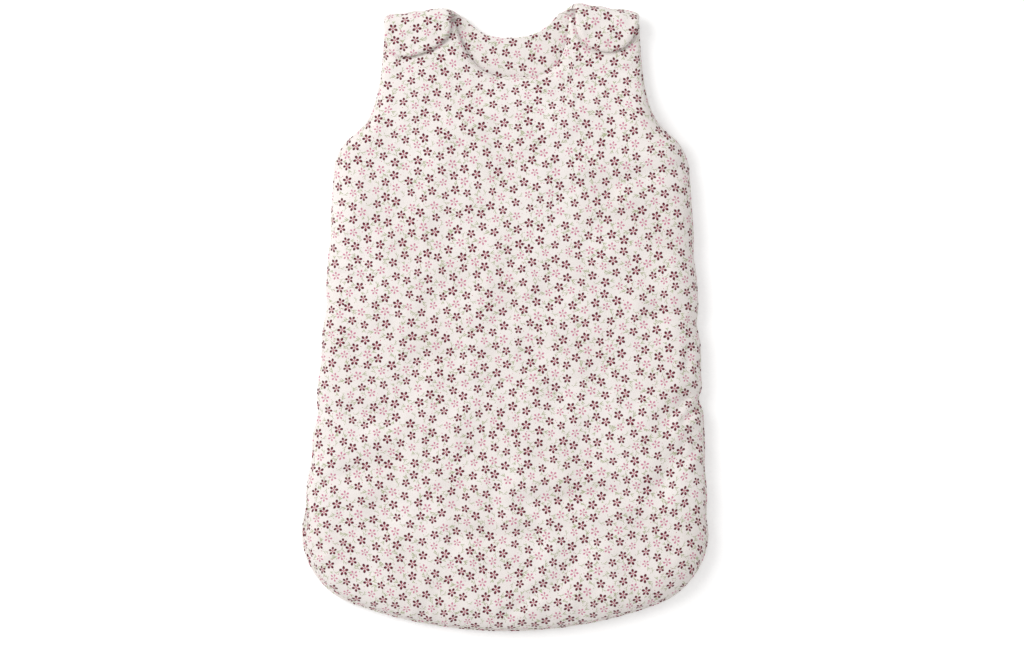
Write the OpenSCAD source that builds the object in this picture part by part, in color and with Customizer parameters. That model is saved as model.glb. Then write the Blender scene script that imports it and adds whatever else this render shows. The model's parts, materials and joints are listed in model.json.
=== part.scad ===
// Sleeveless padded baby sleeping bag, lying flat on its back.
//
// Two quilted panels, each a printed cotton shell, polyester wadding and a cotton lining, are sewn
// together round the right side and the bottom. The left side opens with a moulded zip. The back
// shoulder straps fold forward over the front straps and end in tabs with hidden press studs.
//
// x runs across the bag, y from the feet to the neck and z up. The origin is on the floor, under
// the middle of the bag.

/* [Bag] */
// Length from the shoulder folds to the bottom seam
bag_length = 700; // [680:2:760]
// Width across the hips, the widest place
hip_width = 452; // [436:2:480]
// Width under the arms
chest_width = 396; // [384:2:412]
// Radius of the bottom corners
corner_radius = 85; // [74:1:92]
// Height of the corners' centres above the bottom seam
corner_height = 110; // [104:1:126]

/* [Neck and armholes] */
// Width between the two straps
neck_width = 132; // [124:1:140]
// Depth of the back neckline below the shoulder folds
back_neck_depth = 36; // [30:1:44]
// Depth of the front neckline below the shoulder folds
front_neck_depth = 81; // [72:1:90]
// Depth of the armholes below the shoulder folds
armhole_depth = 180; // [170:1:190]
// Reach of the armhole's upright upper stretch
armhole_upright = 148; // [130:1:156]
// Reach of the armhole's curve where it meets the side
armhole_scoop = 60; // [48:1:66]

/* [Straps] */
// Width of a shoulder strap
strap_width = 77; // [72:1:82]
// Slope of the shoulders in degrees
shoulder_slope = 7; // [0:0.5:9]

/* [Padding] */
// Thickness of the back panel
back_loft = 12; // [10:0.5:15]
// Thickness of the front panel
front_loft = 14; // [11:0.5:18]
// Thickness of both panels at the straps
strap_loft = 9; // [7.5:0.5:10]
// Thickness of the shell and lining cloth
cloth = 0.6; // [0.4:0.1:0.8]
// Thickness of a panel at its sewn edge
seam_edge = 2.6; // [2.2:0.1:3.4]
// Width of the soft rounding along the sides and the bottom
side_rounding = 34; // [28:1:44]
// Width of the rounding along the neck, the armholes and the straps
hem_rounding = 18; // [12:1:19]
// Depth of the front's deepest crease
crease_depth = 3.4; // [0:0.2:5]
// Width of the creases from their middle to where they fade
crease_width = 11; // [9:0.5:16]
// Depth of the front's broad hollows
swell_depth = 2; // [0:0.2:3]
// Distance from one hollow to the next
swell_length = 136; // [110:2:180]

/* [Inside space] */
// Height of the space between the panels
cavity_gap = 12; // [11.5:0.5:16]
// Height of the space between the two straps of a shoulder
strap_gap = 3; // [2:0.5:5]

/* [Shoulder tabs] */
// Width of a tab across its middle
tab_width = 70; // [64:1:72]
// Length of a tab below the fold
tab_length = 42; // [39:1:48]
// Radius of the tab's round corners
tab_corner = 26; // [18:1:30]
// Thickness of a tab
tab_loft = 5.8; // [5.2:0.2:7]
// Width of the rounding along the tab's edge
tab_rounding = 7; // [4:0.5:9]
// How far past the fold line the tab turns, as a share of the fold's middle radius
fold_axis_share = 0.6; // [0.5:0.05:0.8]

/* [Press studs] */
// Diameter of the hidden caps
cap_diameter = 12.4; // [11:0.1:14]
// Thickness of the hidden caps
cap_thickness = 1; // [0.8:0.1:1.2]
// Diameter of the socket and of the stud's flange
socket_diameter = 10.4; // [9:0.1:10.8]
// Height of the socket
socket_height = 2.6; // [2.2:0.1:2.8]
// Thickness of the stud's flange
flange_thickness = 1; // [0.8:0.1:1.2]
// Diameter of the stud's head
stud_diameter = 4.2; // [3.6:0.1:4.6]
// Diameter of the rivets that hold the press stud's parts together
rivet_diameter = 2.4; // [2:0.1:2.6]
// Distance of the press stud from the fold line
snap_inset = 24; // [22:1:27]

/* [Side zip] */
// Length between the top and the bottom stops
zip_length = 366; // [300:3:366]
// Distance of the top stops from the underarm
zip_top = 3; // [2:0.5:6]
// Distance of the chain's middle inside the bag's edge
chain_inset = 4.4; // [4:0.1:6]
// Width of the tape that is sewn to each panel
tape_width = 14; // [10:0.5:16]
// Thickness of the tape
tape_thickness = 0.5; // [0.4:0.1:0.6]
// Distance from tooth to tooth along one row
tooth_pitch = 3; // [2.9:0.05:3.4]
// Thickness of the teeth
tooth_thickness = 2.4; // [2:0.1:2.6]
// Length of the top stops
top_stop_length = 3; // [2:0.5:4]
// Length of the bottom stop
bottom_stop_length = 5; // [4:0.5:7]

/* [Zip slider] */
// Length of the slider
slider_length = 13; // [12:0.5:15]
// Width of the slider at its shoulders
slider_width = 8; // [7.6:0.1:8.4]
// Thickness of the slider's two plates
plate_thickness = 0.9; // [0.7:0.1:1]
// Length of the pull
pull_length = 24; // [18:1:32]
// Width of the pull at its end
pull_width = 6.4; // [5.6:0.1:7]
// Thickness of the pull
pull_thickness = 1.4; // [1.2:0.1:1.5]

/* [Hidden] */

LEFT = -1;
RIGHT = 1;

shell_colour = [0.92, 0.89, 0.88];
lining_colour = [0.88, 0.84, 0.84];
wadding_colour = [0.97, 0.97, 0.96];
tape_colour = [0.93, 0.91, 0.88];
moulded_colour = [0.9, 0.88, 0.85];
metal_colour = [0.78, 0.79, 0.8];

// The panels' grids: columns over half the neck and over a strap, and rows up the corner, the side
// and the armhole. The creased front has more rows up the side than the smooth back.
neck_columns = 6;
strap_columns = 6;
columns = neck_columns + strap_columns;
corner_rows = 4;
back_side_rows = 5;
front_side_rows = 15;
armhole_rows = 7;
// Places across a strap, closer together towards its edges
strap_places = [for (k = [0 : strap_columns])
    strap_width * (dense_ends(k / strap_columns, 1.6) - 0.5)];

fit = 0.3;                      // clearance between pieces that lie on each other
bore_play = 0.15;               // clearance round a rivet, a stud or a pull's bar
seam_z = back_loft;             // level of the seams and of the back lining
top_y = bag_length / 2;
bottom_y = -bag_length / 2;
underarm = [chest_width / 2, top_y - armhole_depth];

// The shoulder from below: back strap, strap gap, front strap, tab
strap_bottom_z = seam_z - strap_loft;
strap_top_z = seam_z + strap_gap + strap_loft;
tab_z = strap_top_z + fit;
tab_top_z = tab_z + tab_loft;

// Each fold is a half turn from the back strap up to the tab
fold_outer = (tab_top_z - strap_bottom_z) / 2;
fold_inner = (tab_z - seam_z) / 2;
fold_axis_y = fold_axis_share * (fold_outer + fold_inner) / 2;
fold_axis_z = (tab_top_z + strap_bottom_z) / 2;

// Ends of the right shoulder's fold line, and its direction
across_strap = [cos(shoulder_slope), -sin(shoulder_slope)];
along_strap = [sin(shoulder_slope), cos(shoulder_slope)];
fold_start = [neck_width / 2, top_y - fold_reach()];
fold_end = fold_start + strap_width * across_strap;
fold_middle = (fold_start + fold_end) / 2;
front_strap_short = 4;          // the front straps end this far below the fold lines

// Heights between which the padding thins towards the straps
thin_from_y = top_y - armhole_depth + 35;
thin_to_y = top_y - front_neck_depth + 5;

// The zip's slot in the left side
tape_stack = tape_thickness + fit;
zip_gap = slider_width + 2 * (tape_stack + fit);
tape_start = 1;
tape_tail = 6;
top_stops_end = zip_top + top_stop_length;
chain_end = top_stops_end + zip_length;
tape_end = chain_end + bottom_stop_length + tape_tail;

// The bottom seam is a large arc that the two corner circles touch from inside
corner = [hip_width / 2 - corner_radius, bottom_y + corner_height];
bottom_radius = (corner.x ^ 2 + corner_height ^ 2 - corner_radius ^ 2)
    / (2 * (corner_height - corner_radius));
arc_meets_x = corner.x * bottom_radius / (bottom_radius - corner_radius);

// The side leaves the corner circle at side_turn and runs straight to the underarm
corner_turn = -45;              // direction in which the bottom edge ends and the side begins
side_turn = atan2(underarm.y - corner.y, underarm.x - corner.x)
    - acos(corner_radius / norm(underarm - corner));
side_foot = corner + corner_radius * [cos(side_turn), sin(side_turn)];
corner_arc = corner_radius * (side_turn - corner_turn) * PI / 180;
side_length = corner_arc + norm(underarm - side_foot);

// --- Small functions ----------------------------------------------------------------------------

function mix(a, b, t) = a + (b - a) * t;
function clamped(t) = min(1, max(0, t));
function smooth(t) = let (s = clamped(t)) s * s * (3 - 2 * s);
function dense_ends(t, power) = t ^ power / (t ^ power + (1 - t) ^ power);
function rounded(d, width) = d >= width ? 1 : sqrt(1 - (1 - d / width) ^ 2);
function flat(rows) = [for (row = rows) each row];
function last(list) = list[len(list) - 1];
function summed(list) = list * [for (value = list) 1];

function to_segment(p, a, b) =
    let (ab = b - a, t = clamped((p - a) * ab / (ab * ab)))
    norm(p - a - t * ab);
function to_line(p, line) =
    min([for (i = [1 : len(line) - 1]) to_segment(p, line[i - 1], line[i])]);

function bezier(a, b, c, d, t) =
    (1 - t) ^ 3 * a + 3 * (1 - t) ^ 2 * t * b + 3 * (1 - t) * t ^ 2 * c + t ^ 3 * d;

// --- Outlines of the right half -----------------------------------------------------------------

function bottom_point(x) =
    [x, x > arc_meets_x
        ? corner.y - sqrt(corner_radius ^ 2 - (x - corner.x) ^ 2)
        : bottom_y + bottom_radius - sqrt(bottom_radius ^ 2 - x ^ 2)];

function side_point(s) = s < corner_arc
    ? let (a = mix(corner_turn, side_turn, s / corner_arc))
        corner + corner_radius * [cos(a), sin(a)]
    : mix(side_foot, underarm, (s - corner_arc) / (side_length - corner_arc));

scoop_heading = 105;            // direction in which the armhole leaves the side
armhole_lean = 4;               // outward lean of its upright stretch
function armhole_point(strap_corner, t) = bezier(
    underarm, underarm + armhole_scoop * [cos(scoop_heading), sin(scoop_heading)],
    strap_corner + [armhole_lean, -armhole_upright], strap_corner, t);

bottom_end_x = side_point(0).x;
bottom_edge = [for (k = [0 : columns]) bottom_point(bottom_end_x * (1 - (1 - k / columns) ^ 1.6))];

// Right edge from the bottom corner up the side and the armhole to the strap's outer corner
function side_edge(shoulder, side_rows) =
    let (strap_corner = shoulder + strap_width * across_strap)
    concat(
        [for (j = [0 : corner_rows - 1]) side_point(corner_arc * (j / corner_rows) ^ 1.8)],
        [for (j = [0 : side_rows - 1]) side_point(
            mix(corner_arc, side_length, dense_ends(j / side_rows, 1.5)))],
        [for (j = [0 : armhole_rows]) armhole_point(strap_corner,
            dense_ends(j / armhole_rows, 1.7))]);

// Top edge from the middle of the neck over the strap to its outer corner
function top_edge(shoulder, depth) = concat(
    [for (k = [0 : neck_columns - 1]) let (a = 90 * k / neck_columns)
        [shoulder.x * sin(a), shoulder.y - (shoulder.y - top_y + depth) * cos(a)]],
    [for (k = [0 : strap_columns])
        shoulder + (strap_places[k] + strap_width / 2) * across_strap]);

// How far along a line each of its points lies, as a share of its length
function steps(line) = [for (i = [1 : len(line) - 1]) norm(line[i] - line[i - 1])];
function running(list, i) = i == 0 ? 0 : list[i - 1] + running(list, i - 1);
function shares(line) = let (s = steps(line), whole = running(s, len(s)))
    [for (i = [0 : len(line) - 1]) running(s, i) / whole];

back_shoulder = fold_start;
front_shoulder = fold_start - front_strap_short * along_strap;

// --- Grids: rows of points from the bottom to the top, each from the left to the right -----------

// Share of the side's bulge that each column of the right half takes
function side_share(k) = bottom_edge[k].x / bottom_end_x;

// How far the grid bows inwards round the corner, where the bottom and the side are one smooth line
corner_bow = 4.2 * corner_radius;
inwards = -[cos(corner_turn), sin(corner_turn)];
function bow(u, v) = corner_bow * sqrt((1 - u) * v) * (u * (1 - v)) ^ 5;

// A Coons patch between the middle line, the side, the bottom and the top
function half_grid(top, side) =
    let (up = shares(side))
    [for (j = [0 : len(side) - 1]) let (v = up[j])
        [for (k = [0 : columns]) let (u = side_share(k))
            mix(bottom_edge[k], top[k], v)
            + u * (side[j] - mix(bottom_edge[columns], top[columns], v))
            + bow(u, v) * inwards]];

function mirrored(p) = [-p.x, p.y];
function whole_grid(half) =
    [for (row = half) concat([for (k = [len(row) - 1 : -1 : 1]) mirrored(row[k])], row)];
function whole_values(left, right) =
    [for (j = [0 : len(left) - 1])
        concat([for (k = [len(left[j]) - 1 : -1 : 1]) left[j][k]], right[j])];

// Row at which a side meets its armhole
function underarm_row(side) = len(side) - 1 - armhole_rows;

// How far the padding has risen at each point, from 0 on a sewn edge to 1 in the open
function rise(half, side, hems) =
    let (seam = concat(bottom_edge, [for (j = [1 : underarm_row(side)]) side[j]]),
         armhole = [for (j = [underarm_row(side) : len(side) - 1]) side[j]])
    [for (row = half) [for (p = row)
        rounded(to_line(p, seam), side_rounding)
        * rounded(min([for (line = concat([armhole], hems)) to_line(p, line)]), hem_rounding)]];

function thinning(y) = smooth((y - thin_from_y) / (thin_to_y - thin_from_y));

// Grid points round the edge, counter-clockwise from the bottom left
function edge_places(grid) =
    let (m = len(grid) - 1, n = len(grid[0]) - 1)
    concat(
        [for (i = [0 : n]) [0, i]], [for (j = [1 : m]) [j, n]],
        [for (i = [n - 1 : -1 : 0]) [m, i]], [for (j = [m - 1 : -1 : 1]) [j, 0]]);
function edge_order(grid, j, i) =
    let (m = len(grid) - 1, n = len(grid[0]) - 1)
    j == 0 ? i : i == n ? n + j : j == m ? n + m + n - i : i == 0 ? 2 * n + m + m - j : undef;

// The same grid with its edge moved inwards
function inset(grid, amount) =
    let (places = edge_places(grid), count = len(places))
    [for (j = [0 : len(grid) - 1]) [for (i = [0 : len(grid[0]) - 1])
        let (q = edge_order(grid, j, i))
        is_undef(q) ? grid[j][i] : let (
            a = places[(q + count - 1) % count],
            b = places[(q + 1) % count],
            along = grid[b[0]][b[1]] - grid[a[0]][a[1]])
        grid[j][i] + amount * [-along.y, along.x] / norm(along)]];

function raised(grid, heights) =
    [for (j = [0 : len(grid) - 1]) [for (i = [0 : len(grid[0]) - 1])
        [grid[j][i].x, grid[j][i].y, heights[j][i]]]];
function lifted(values, amount) = [for (row = values) [for (z = row) z + amount]];
function ring(grid) = [for (place = edge_places(grid)) grid[place[0]][place[1]]];

// A closed solid between an upper and a lower grid. rings are loops of points that its side passes
// through on its way down from the upper grid's edge to the lower grid's.
module sheet(upper, lower, rings = []) {
    m = len(upper) - 1;
    n = len(upper[0]) - 1;
    size = (m + 1) * (n + 1);
    edge = [for (place = edge_places(upper)) place[0] * (n + 1) + place[1]];
    count = len(edge);
    loops = concat(
        [edge],
        [for (r = [0 : 1 : len(rings) - 1]) [for (q = [0 : count - 1]) 2 * size + r * count + q]],
        [[for (q = edge) q + size]]);
    upper_faces = [for (j = [0 : m - 1]) for (i = [0 : n - 1])
        let (a = j * (n + 1) + i, b = a + 1, d = a + n + 1, c = d + 1)
        each i < n / 2 ? [[a, c, b], [a, d, c]] : [[a, d, b], [b, d, c]]];
    lower_faces = [for (face = upper_faces) [face[2] + size, face[1] + size, face[0] + size]];
    side_faces = [for (l = [1 : len(loops) - 1]) for (q = [0 : count - 1])
        let (r = (q + 1) % count)
        each [[loops[l - 1][q], loops[l - 1][r], loops[l][r]],
              [loops[l - 1][q], loops[l][r], loops[l][q]]]];
    polyhedron(concat(flat(upper), flat(lower), flat(rings)),
        concat(upper_faces, lower_faces, side_faces));
}

// --- Back panel ---------------------------------------------------------------------------------

back_top = top_edge(back_shoulder, back_neck_depth);
back_side = side_edge(back_shoulder, back_side_rows);
back_half = half_grid(back_top, back_side);
back_grid = whole_grid(back_half);
back_inner_grid = inset(back_grid, cloth);
back_neck = [for (k = [0 : neck_columns]) back_top[k]];
back_rise = rise(back_half, back_side, [back_neck]);

// Underside of the back panel
back_half_z = [for (j = [0 : len(back_half) - 1]) [for (k = [0 : columns])
    seam_z - mix(seam_edge, mix(back_loft, strap_loft, thinning(back_half[j][k].y)),
        back_rise[j][k])]];
back_z = whole_values(back_half_z, back_half_z);

module back_shell() {
    color(shell_colour)
    sheet(
        raised(back_inner_grid, lifted(back_z, cloth)),
        raised(back_grid, back_z),
        [[for (p = ring(back_inner_grid)) [p.x, p.y, seam_z]],
         [for (p = ring(back_grid)) [p.x, p.y, seam_z]]]);
}

module back_wadding() {
    edge = ring(back_inner_grid);
    lower = raised(back_inner_grid, lifted(back_z, cloth));
    color(wadding_colour)
    sheet(raised(back_inner_grid, [for (row = back_z) [for (z = row) seam_z - cloth]]), lower);
}

module back_lining() {
    color(lining_colour)
    translate([0, 0, seam_z - cloth])
    linear_extrude(cloth)
    polygon(ring(back_inner_grid));
}

// --- Front panel --------------------------------------------------------------------------------

front_top = top_edge(front_shoulder, front_neck_depth);
front_side = side_edge(front_shoulder, front_side_rows);
front_half = half_grid(front_top, front_side);
front_grid = whole_grid(front_half);
front_inner_grid = inset(front_grid, cloth);
front_rise = rise(front_half, front_side, [front_top]);

// The front's edge lies on the back's along the seams and stands open at the neck, the armholes
// and the zip
opening_run = 40;               // distance over which the seam opens into the armhole
function seam_opening(hand) = hand == LEFT ? zip_gap : 0;
function hem_opening(p, hand) =
    mix(seam_opening(hand), mix(zip_gap, strap_gap, thinning(p.y)),
        smooth(norm(p - underarm) / opening_run));

// The slot closes between the zip's end and the foot of the side
side_drop = [for (p = front_side) norm(p - underarm)];
slot_row = min([for (j = [0 : len(front_side) - 1]) if (side_drop[j] < tape_end + tape_tail) j]) - 1;
function side_opening(j, hand) = j > underarm_row(front_side)
    ? hem_opening(front_side[j], hand)
    : seam_opening(hand) * smooth(j / slot_row);

front_up = shares(front_side);
function edge_opening(j, k, hand) =
    mix(0, hem_opening(front_top[k], hand), front_up[j])
    + side_share(k)
    * (side_opening(j, hand) - mix(0, hem_opening(last(front_top), hand), front_up[j]));

function roof(y) = mix(cavity_gap, strap_gap, thinning(y));

// Main creases of the front: start, end and depth. The ends are shares of half the width and half
// the length, and the depths are shares of the deepest.
creases = [
    [[0.93, -0.24], [0.78, -0.33], 0.9],        // below the waist on the right
    [[0.91, -0.37], [0.74, -0.55], 1],          // from the right hip
    [[0.74, -0.55], [0.09, -0.59], 0.6],        // on towards the middle
    [[-0.24, -0.70], [0.13, -0.70], 0.75],      // across the feet
    [[0.24, -0.86], [0.38, -0.74], 0.5],        // beside the bottom seam
    [[0.94, 0.01], [0.73, 0.02], 0.7],          // at the waist on the right
    [[0.90, 0.50], [0.50, 0.42], 0.65],         // under the right arm
    [[-0.92, -0.28], [-0.64, -0.33], 0.5],      // below the waist on the left
    [[-0.94, -0.53], [-0.60, -0.46], 0.35]      // from the left hip
];
ridge_share = 0.4;              // height of the ridges beside a crease, as a share of its depth
ridge_distance = 2.1;           // their distance from it, in crease widths
function spread(share) = [share.x * hip_width, share.y * bag_length] / 2;
function bell(d) = exp(-(d ^ 2));
function crease(p, start, end) =
    let (d = to_segment(p, start, end) / crease_width)
    bell(d) - ridge_share * bell(d - ridge_distance);
function swell(p) =
    let (turn = 360 / swell_length)
    (1 + sin(turn * (p.x + p.y / 3)) * cos(turn * (0.75 * p.y - p.x / 4))) / 2;

// Height of the front above or below its smooth form
function relief(p) = min(0,
    -swell_depth * swell(p) - crease_depth * summed([for (c = creases)
        c[2] * crease(p, spread(c[0]), spread(c[1]))]));
function front_under(hand) = [for (j = [0 : len(front_half) - 1]) [for (k = [0 : columns])
    seam_z + mix(edge_opening(j, k, hand), roof(front_half[j][k].y), front_rise[j][k])]];
function front_over(hand) = [for (j = [0 : len(front_half) - 1]) [for (k = [0 : columns])
    let (p = front_half[j][k], y = p.y)
    seam_z + mix(edge_opening(j, k, hand) + seam_edge,
        roof(y) + mix(front_loft, strap_loft, thinning(y)), front_rise[j][k])
    + relief([hand * p.x, y]) * front_rise[j][k] * (1 - thinning(y))]];
front_under_z = whole_values(front_under(LEFT), front_under(RIGHT));
front_over_z = whole_values(front_over(LEFT), front_over(RIGHT));

module front_shell() {
    under = ring(raised(front_grid, front_under_z));
    inner_under = ring(raised(front_inner_grid, front_under_z));
    color(shell_colour)
    difference() {
        sheet(
            raised(front_grid, front_over_z),
            raised(front_inner_grid, lifted(front_over_z, -cloth)),
            [under, inner_under]);
        snap_pockets();
    }
}

module front_wadding() {
    color(wadding_colour)
    difference() {
        sheet(
            raised(front_inner_grid, lifted(front_over_z, -cloth)),
            raised(front_inner_grid, lifted(front_under_z, cloth)));
        snap_pockets();
    }
}

module front_lining() {
    color(lining_colour)
    sheet(
        raised(front_inner_grid, lifted(front_under_z, cloth)),
        raised(front_inner_grid, front_under_z));
}

// --- Shoulder folds and tabs --------------------------------------------------------------------

// Places a shoulder's parts: x runs outwards along the fold line from its middle, y past the fold
module on_shoulder(hand) {
    mirror([hand == LEFT ? 1 : 0, 0, 0])
    translate([fold_middle.x, fold_middle.y, 0])
    rotate([0, 0, -shoulder_slope])
    children();
}

fold_steps = 10;                // facets round a fold
function strap_rise(x) = rounded(strap_width / 2 - abs(x), hem_rounding);
function tab_edge_rise(x) = rounded(strap_width / 2 - abs(x), tab_rounding);
function fold_low(x) = seam_z - mix(seam_edge, strap_loft, strap_rise(x));
function fold_high(x) = tab_z + mix(seam_edge, tab_loft, tab_edge_rise(x));
// How far the fold's highest point lies past the inner end of the fold line
function fold_reach() = max([for (x = strap_places)
    (fold_high(x) - fold_low(x)) / 2 * cos(shoulder_slope)
    - (x + strap_width / 2) * sin(shoulder_slope)]);

module strap_fold() {
    angles = [for (i = [fold_steps : -1 : 0]) 180 * i / fold_steps];
    outer = [for (a = angles) [for (x = strap_places)
        let (low = fold_low(x), radius = (fold_high(x) - low) / 2)
        [x, radius * sin(a), low + radius - radius * cos(a)]]];
    inner = [for (a = angles) [for (x = strap_places)
        [x, fold_inner * sin(a), seam_z + fold_inner - fold_inner * cos(a)]]];
    sheet(outer, inner);
}

module left_strap_fold() {
    color(shell_colour)
    on_shoulder(LEFT)
    strap_fold();
}

module right_strap_fold() {
    color(shell_colour)
    on_shoulder(RIGHT)
    strap_fold();
}

// The tab narrows a little from the fold and ends in a round
tab_columns = 5;
tab_rows = 6;
tab_corner_centre = [tab_width / 2 - tab_corner, tab_corner - tab_length];
tab_corner_mid = tab_corner_centre + tab_corner * [cos(corner_turn), sin(corner_turn)];
tab_half_top = [for (k = [0 : tab_columns])
    [strap_width / 2 * (1 - (1 - k / tab_columns) ^ 1.6), 0]];
tab_half_bottom = [for (k = [0 : tab_columns])
    let (x = tab_corner_mid.x * (1 - (1 - k / tab_columns) ^ 1.4))
    [x, x > tab_corner_centre.x
        ? tab_corner_centre.y - sqrt(tab_corner ^ 2 - (x - tab_corner_centre.x) ^ 2)
        : -tab_length]];
tab_turn = atan2(-tab_corner_centre.y, strap_width / 2 - tab_corner_centre.x)
    - acos(tab_corner / norm([strap_width / 2, 0] - tab_corner_centre));
function tab_side(v) =
    let (foot = tab_corner_centre + tab_corner * [cos(tab_turn), sin(tab_turn)],
         arc = tab_corner * (tab_turn - corner_turn) * PI / 180,
         straight = norm([strap_width / 2, 0] - foot),
         s = v * (arc + straight),
         a = mix(corner_turn, tab_turn, s / arc))
    s < arc ? tab_corner_centre + tab_corner * [cos(a), sin(a)]
            : mix(foot, [strap_width / 2, 0], (s - arc) / straight);
tab_half = [for (j = [0 : tab_rows]) let (v = j / tab_rows)
    [for (k = [0 : tab_columns])
        mix(tab_half_bottom[k], tab_half_top[k], v)
        + tab_half_bottom[k].x / tab_corner_mid.x
        * (tab_side(v) - mix(last(tab_half_bottom), last(tab_half_top), v))]];
tab_line = concat(tab_half_bottom, [for (j = [1 : tab_rows]) tab_side(j / tab_rows)]);
tab_grid = whole_grid(tab_half);
tab_inner_grid = inset(tab_grid, cloth);
tab_half_z = [for (row = tab_half) [for (p = row)
    tab_z + mix(seam_edge, tab_loft, rounded(to_line(p, tab_line), tab_rounding))]];
tab_over_z = whole_values(tab_half_z, tab_half_z);

module tab_shell() {
    sheet(
        raised(tab_grid, tab_over_z),
        raised(tab_inner_grid, lifted(tab_over_z, -cloth)),
        [[for (p = ring(tab_grid)) [p.x, p.y, tab_z]],
         [for (p = ring(tab_inner_grid)) [p.x, p.y, tab_z]]]);
}

module tab_wadding() {
    difference() {
        sheet(
            raised(tab_inner_grid, lifted(tab_over_z, -cloth)),
            raised(tab_inner_grid, [for (row = tab_over_z) [for (z = row) tab_z + cloth]]));
        socket_pocket();
    }
}

module tab_lining() {
    difference() {
        translate([0, 0, tab_z])
        linear_extrude(cloth)
        polygon(ring(tab_inner_grid));
        socket_pocket();
    }
}

module left_tab_shell() {
    color(shell_colour)
    on_shoulder(LEFT)
    tab_shell();
}

module left_tab_wadding() {
    color(wadding_colour)
    on_shoulder(LEFT)
    tab_wadding();
}

module left_tab_lining() {
    color(lining_colour)
    on_shoulder(LEFT)
    tab_lining();
}

module right_tab_shell() {
    color(shell_colour)
    on_shoulder(RIGHT)
    tab_shell();
}

module right_tab_wadding() {
    color(wadding_colour)
    on_shoulder(RIGHT)
    tab_wadding();
}

module right_tab_lining() {
    color(lining_colour)
    on_shoulder(RIGHT)
    tab_lining();
}

// --- Press studs --------------------------------------------------------------------------------

stud_reach = 0.6 * socket_height;
rim_width = 0.8;                // wall of the socket round the stud

module on_snap(hand) {
    on_shoulder(hand)
    translate([0, -snap_inset, 0])
    children();
}

// Room for the socket and its cap in the tab, and for the stud and its rivet in the front strap
module socket_pocket() {
    translate([0, -snap_inset, tab_z - fit])
    cylinder(d = socket_diameter, h = socket_height + fit, $fn = 48);
    translate([0, -snap_inset, tab_z + socket_height])
    cylinder(d = cap_diameter, h = cap_thickness, $fn = 48);
}

module snap_pockets() {
    for (hand = [LEFT, RIGHT]) {
        on_snap(hand)
        translate([0, 0, strap_top_z - flange_thickness - cap_thickness])
        cylinder(d = cap_diameter, h = cap_thickness + flange_thickness + fit, $fn = 48);
    }
}

module snap_cap() {
    translate([0, 0, tab_z + socket_height])
    cylinder(d = cap_diameter, h = cap_thickness, $fn = 48);
    translate([0, 0, tab_z + stud_reach + bore_play])
    cylinder(d = rivet_diameter, h = socket_height - stud_reach - bore_play, $fn = 32);
}

// The socket is a ring with a rolled rim, open below for the stud and above for the cap's rivet
module socket() {
    stud_bore = stud_diameter / 2 + bore_play;
    rivet_bore = rivet_diameter / 2 + bore_play;
    base_z = tab_z + stud_reach + bore_play;
    rim = stud_bore + rim_width;
    brim = socket_diameter / 2;
    brim_z = tab_z + socket_height - flange_thickness;
    rotate_extrude($fn = 48)
    polygon([
        [stud_bore, tab_z], [rim, tab_z], [rim, brim_z], [brim, brim_z],
        [brim, tab_z + socket_height], [rivet_bore, tab_z + socket_height],
        [rivet_bore, base_z], [stud_bore, base_z]
    ]);
}

// The stud: a flange in the front strap's shell and a domed head in the socket
module stud() {
    head = stud_diameter / 2;
    neck = head - 0.3;
    flange_z = strap_top_z - flange_thickness;
    head_z = tab_z + stud_reach;
    rivet_bore = rivet_diameter / 2 + bore_play;
    rotate_extrude($fn = 48)
    polygon([
        [rivet_bore, flange_z], [socket_diameter / 2, flange_z],
        [socket_diameter / 2, strap_top_z], [neck, strap_top_z], [neck, tab_z + 0.3],
        [head, tab_z + 0.7], [head, head_z - 0.5], [head - 0.5, head_z],
        [0, head_z], [0, head_z - 0.4], [rivet_bore, head_z - 0.4]
    ]);
}

module stud_rivet() {
    translate([0, 0, strap_top_z - flange_thickness - cap_thickness])
    cylinder(d = cap_diameter, h = cap_thickness, $fn = 48);
    translate([0, 0, strap_top_z - flange_thickness])
    cylinder(d = rivet_diameter, h = flange_thickness + fit, $fn = 32);
}

module left_snap_cap() {
    color(metal_colour)
    on_snap(LEFT)
    snap_cap();
}

module right_snap_cap() {
    color(metal_colour)
    on_snap(RIGHT)
    snap_cap();
}

module left_snap_socket() {
    color(metal_colour)
    on_snap(LEFT)
    socket();
}

module right_snap_socket() {
    color(metal_colour)
    on_snap(RIGHT)
    socket();
}

module left_snap_stud() {
    color(metal_colour)
    on_snap(LEFT)
    stud();
}

module right_snap_stud() {
    color(metal_colour)
    on_snap(RIGHT)
    stud();
}

module left_stud_rivet() {
    color(metal_colour)
    on_snap(LEFT)
    stud_rivet();
}

module right_stud_rivet() {
    color(metal_colour)
    on_snap(RIGHT)
    stud_rivet();
}

// --- Side zip -----------------------------------------------------------------------------------

zip_heading = atan2(side_foot.y - underarm.y, underarm.x - side_foot.x);
zip_z = seam_z + zip_gap / 2;

// Places the zip's parts: x runs down the left side from the underarm, y is up and z outwards
module on_zip() {
    translate([-underarm.x, underarm.y, zip_z])
    rotate([90, 0, zip_heading])
    translate([0, 0, -chain_inset])
    children();
}

// Extrudes a profile, drawn with its x up and its y outwards, from x = from to x = to
module along_zip(from, to) {
    translate([from, 0, 0])
    rotate([90, 0, 90])
    linear_extrude(to - from)
    children();
}

tape_edge = 1.05;               // distance of each tape's edge from the chain's middle

// An L: the web stands beside the teeth and the flange lies on the panel's lining
module tape_profile() {
    flange_y = zip_gap / 2 - fit;
    polygon([
        [tape_edge, tape_thickness / 2], [flange_y, tape_thickness / 2],
        [flange_y, -tape_width], [flange_y - tape_thickness, -tape_width],
        [flange_y - tape_thickness, -tape_thickness / 2], [tape_edge, -tape_thickness / 2]
    ]);
}

module zip_tape_front() {
    color(tape_colour)
    on_zip()
    along_zip(tape_start, tape_end)
    tape_profile();
}

module zip_tape_back() {
    color(tape_colour)
    on_zip()
    along_zip(tape_start, tape_end)
    mirror([1, 0])
    tape_profile();
}

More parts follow.
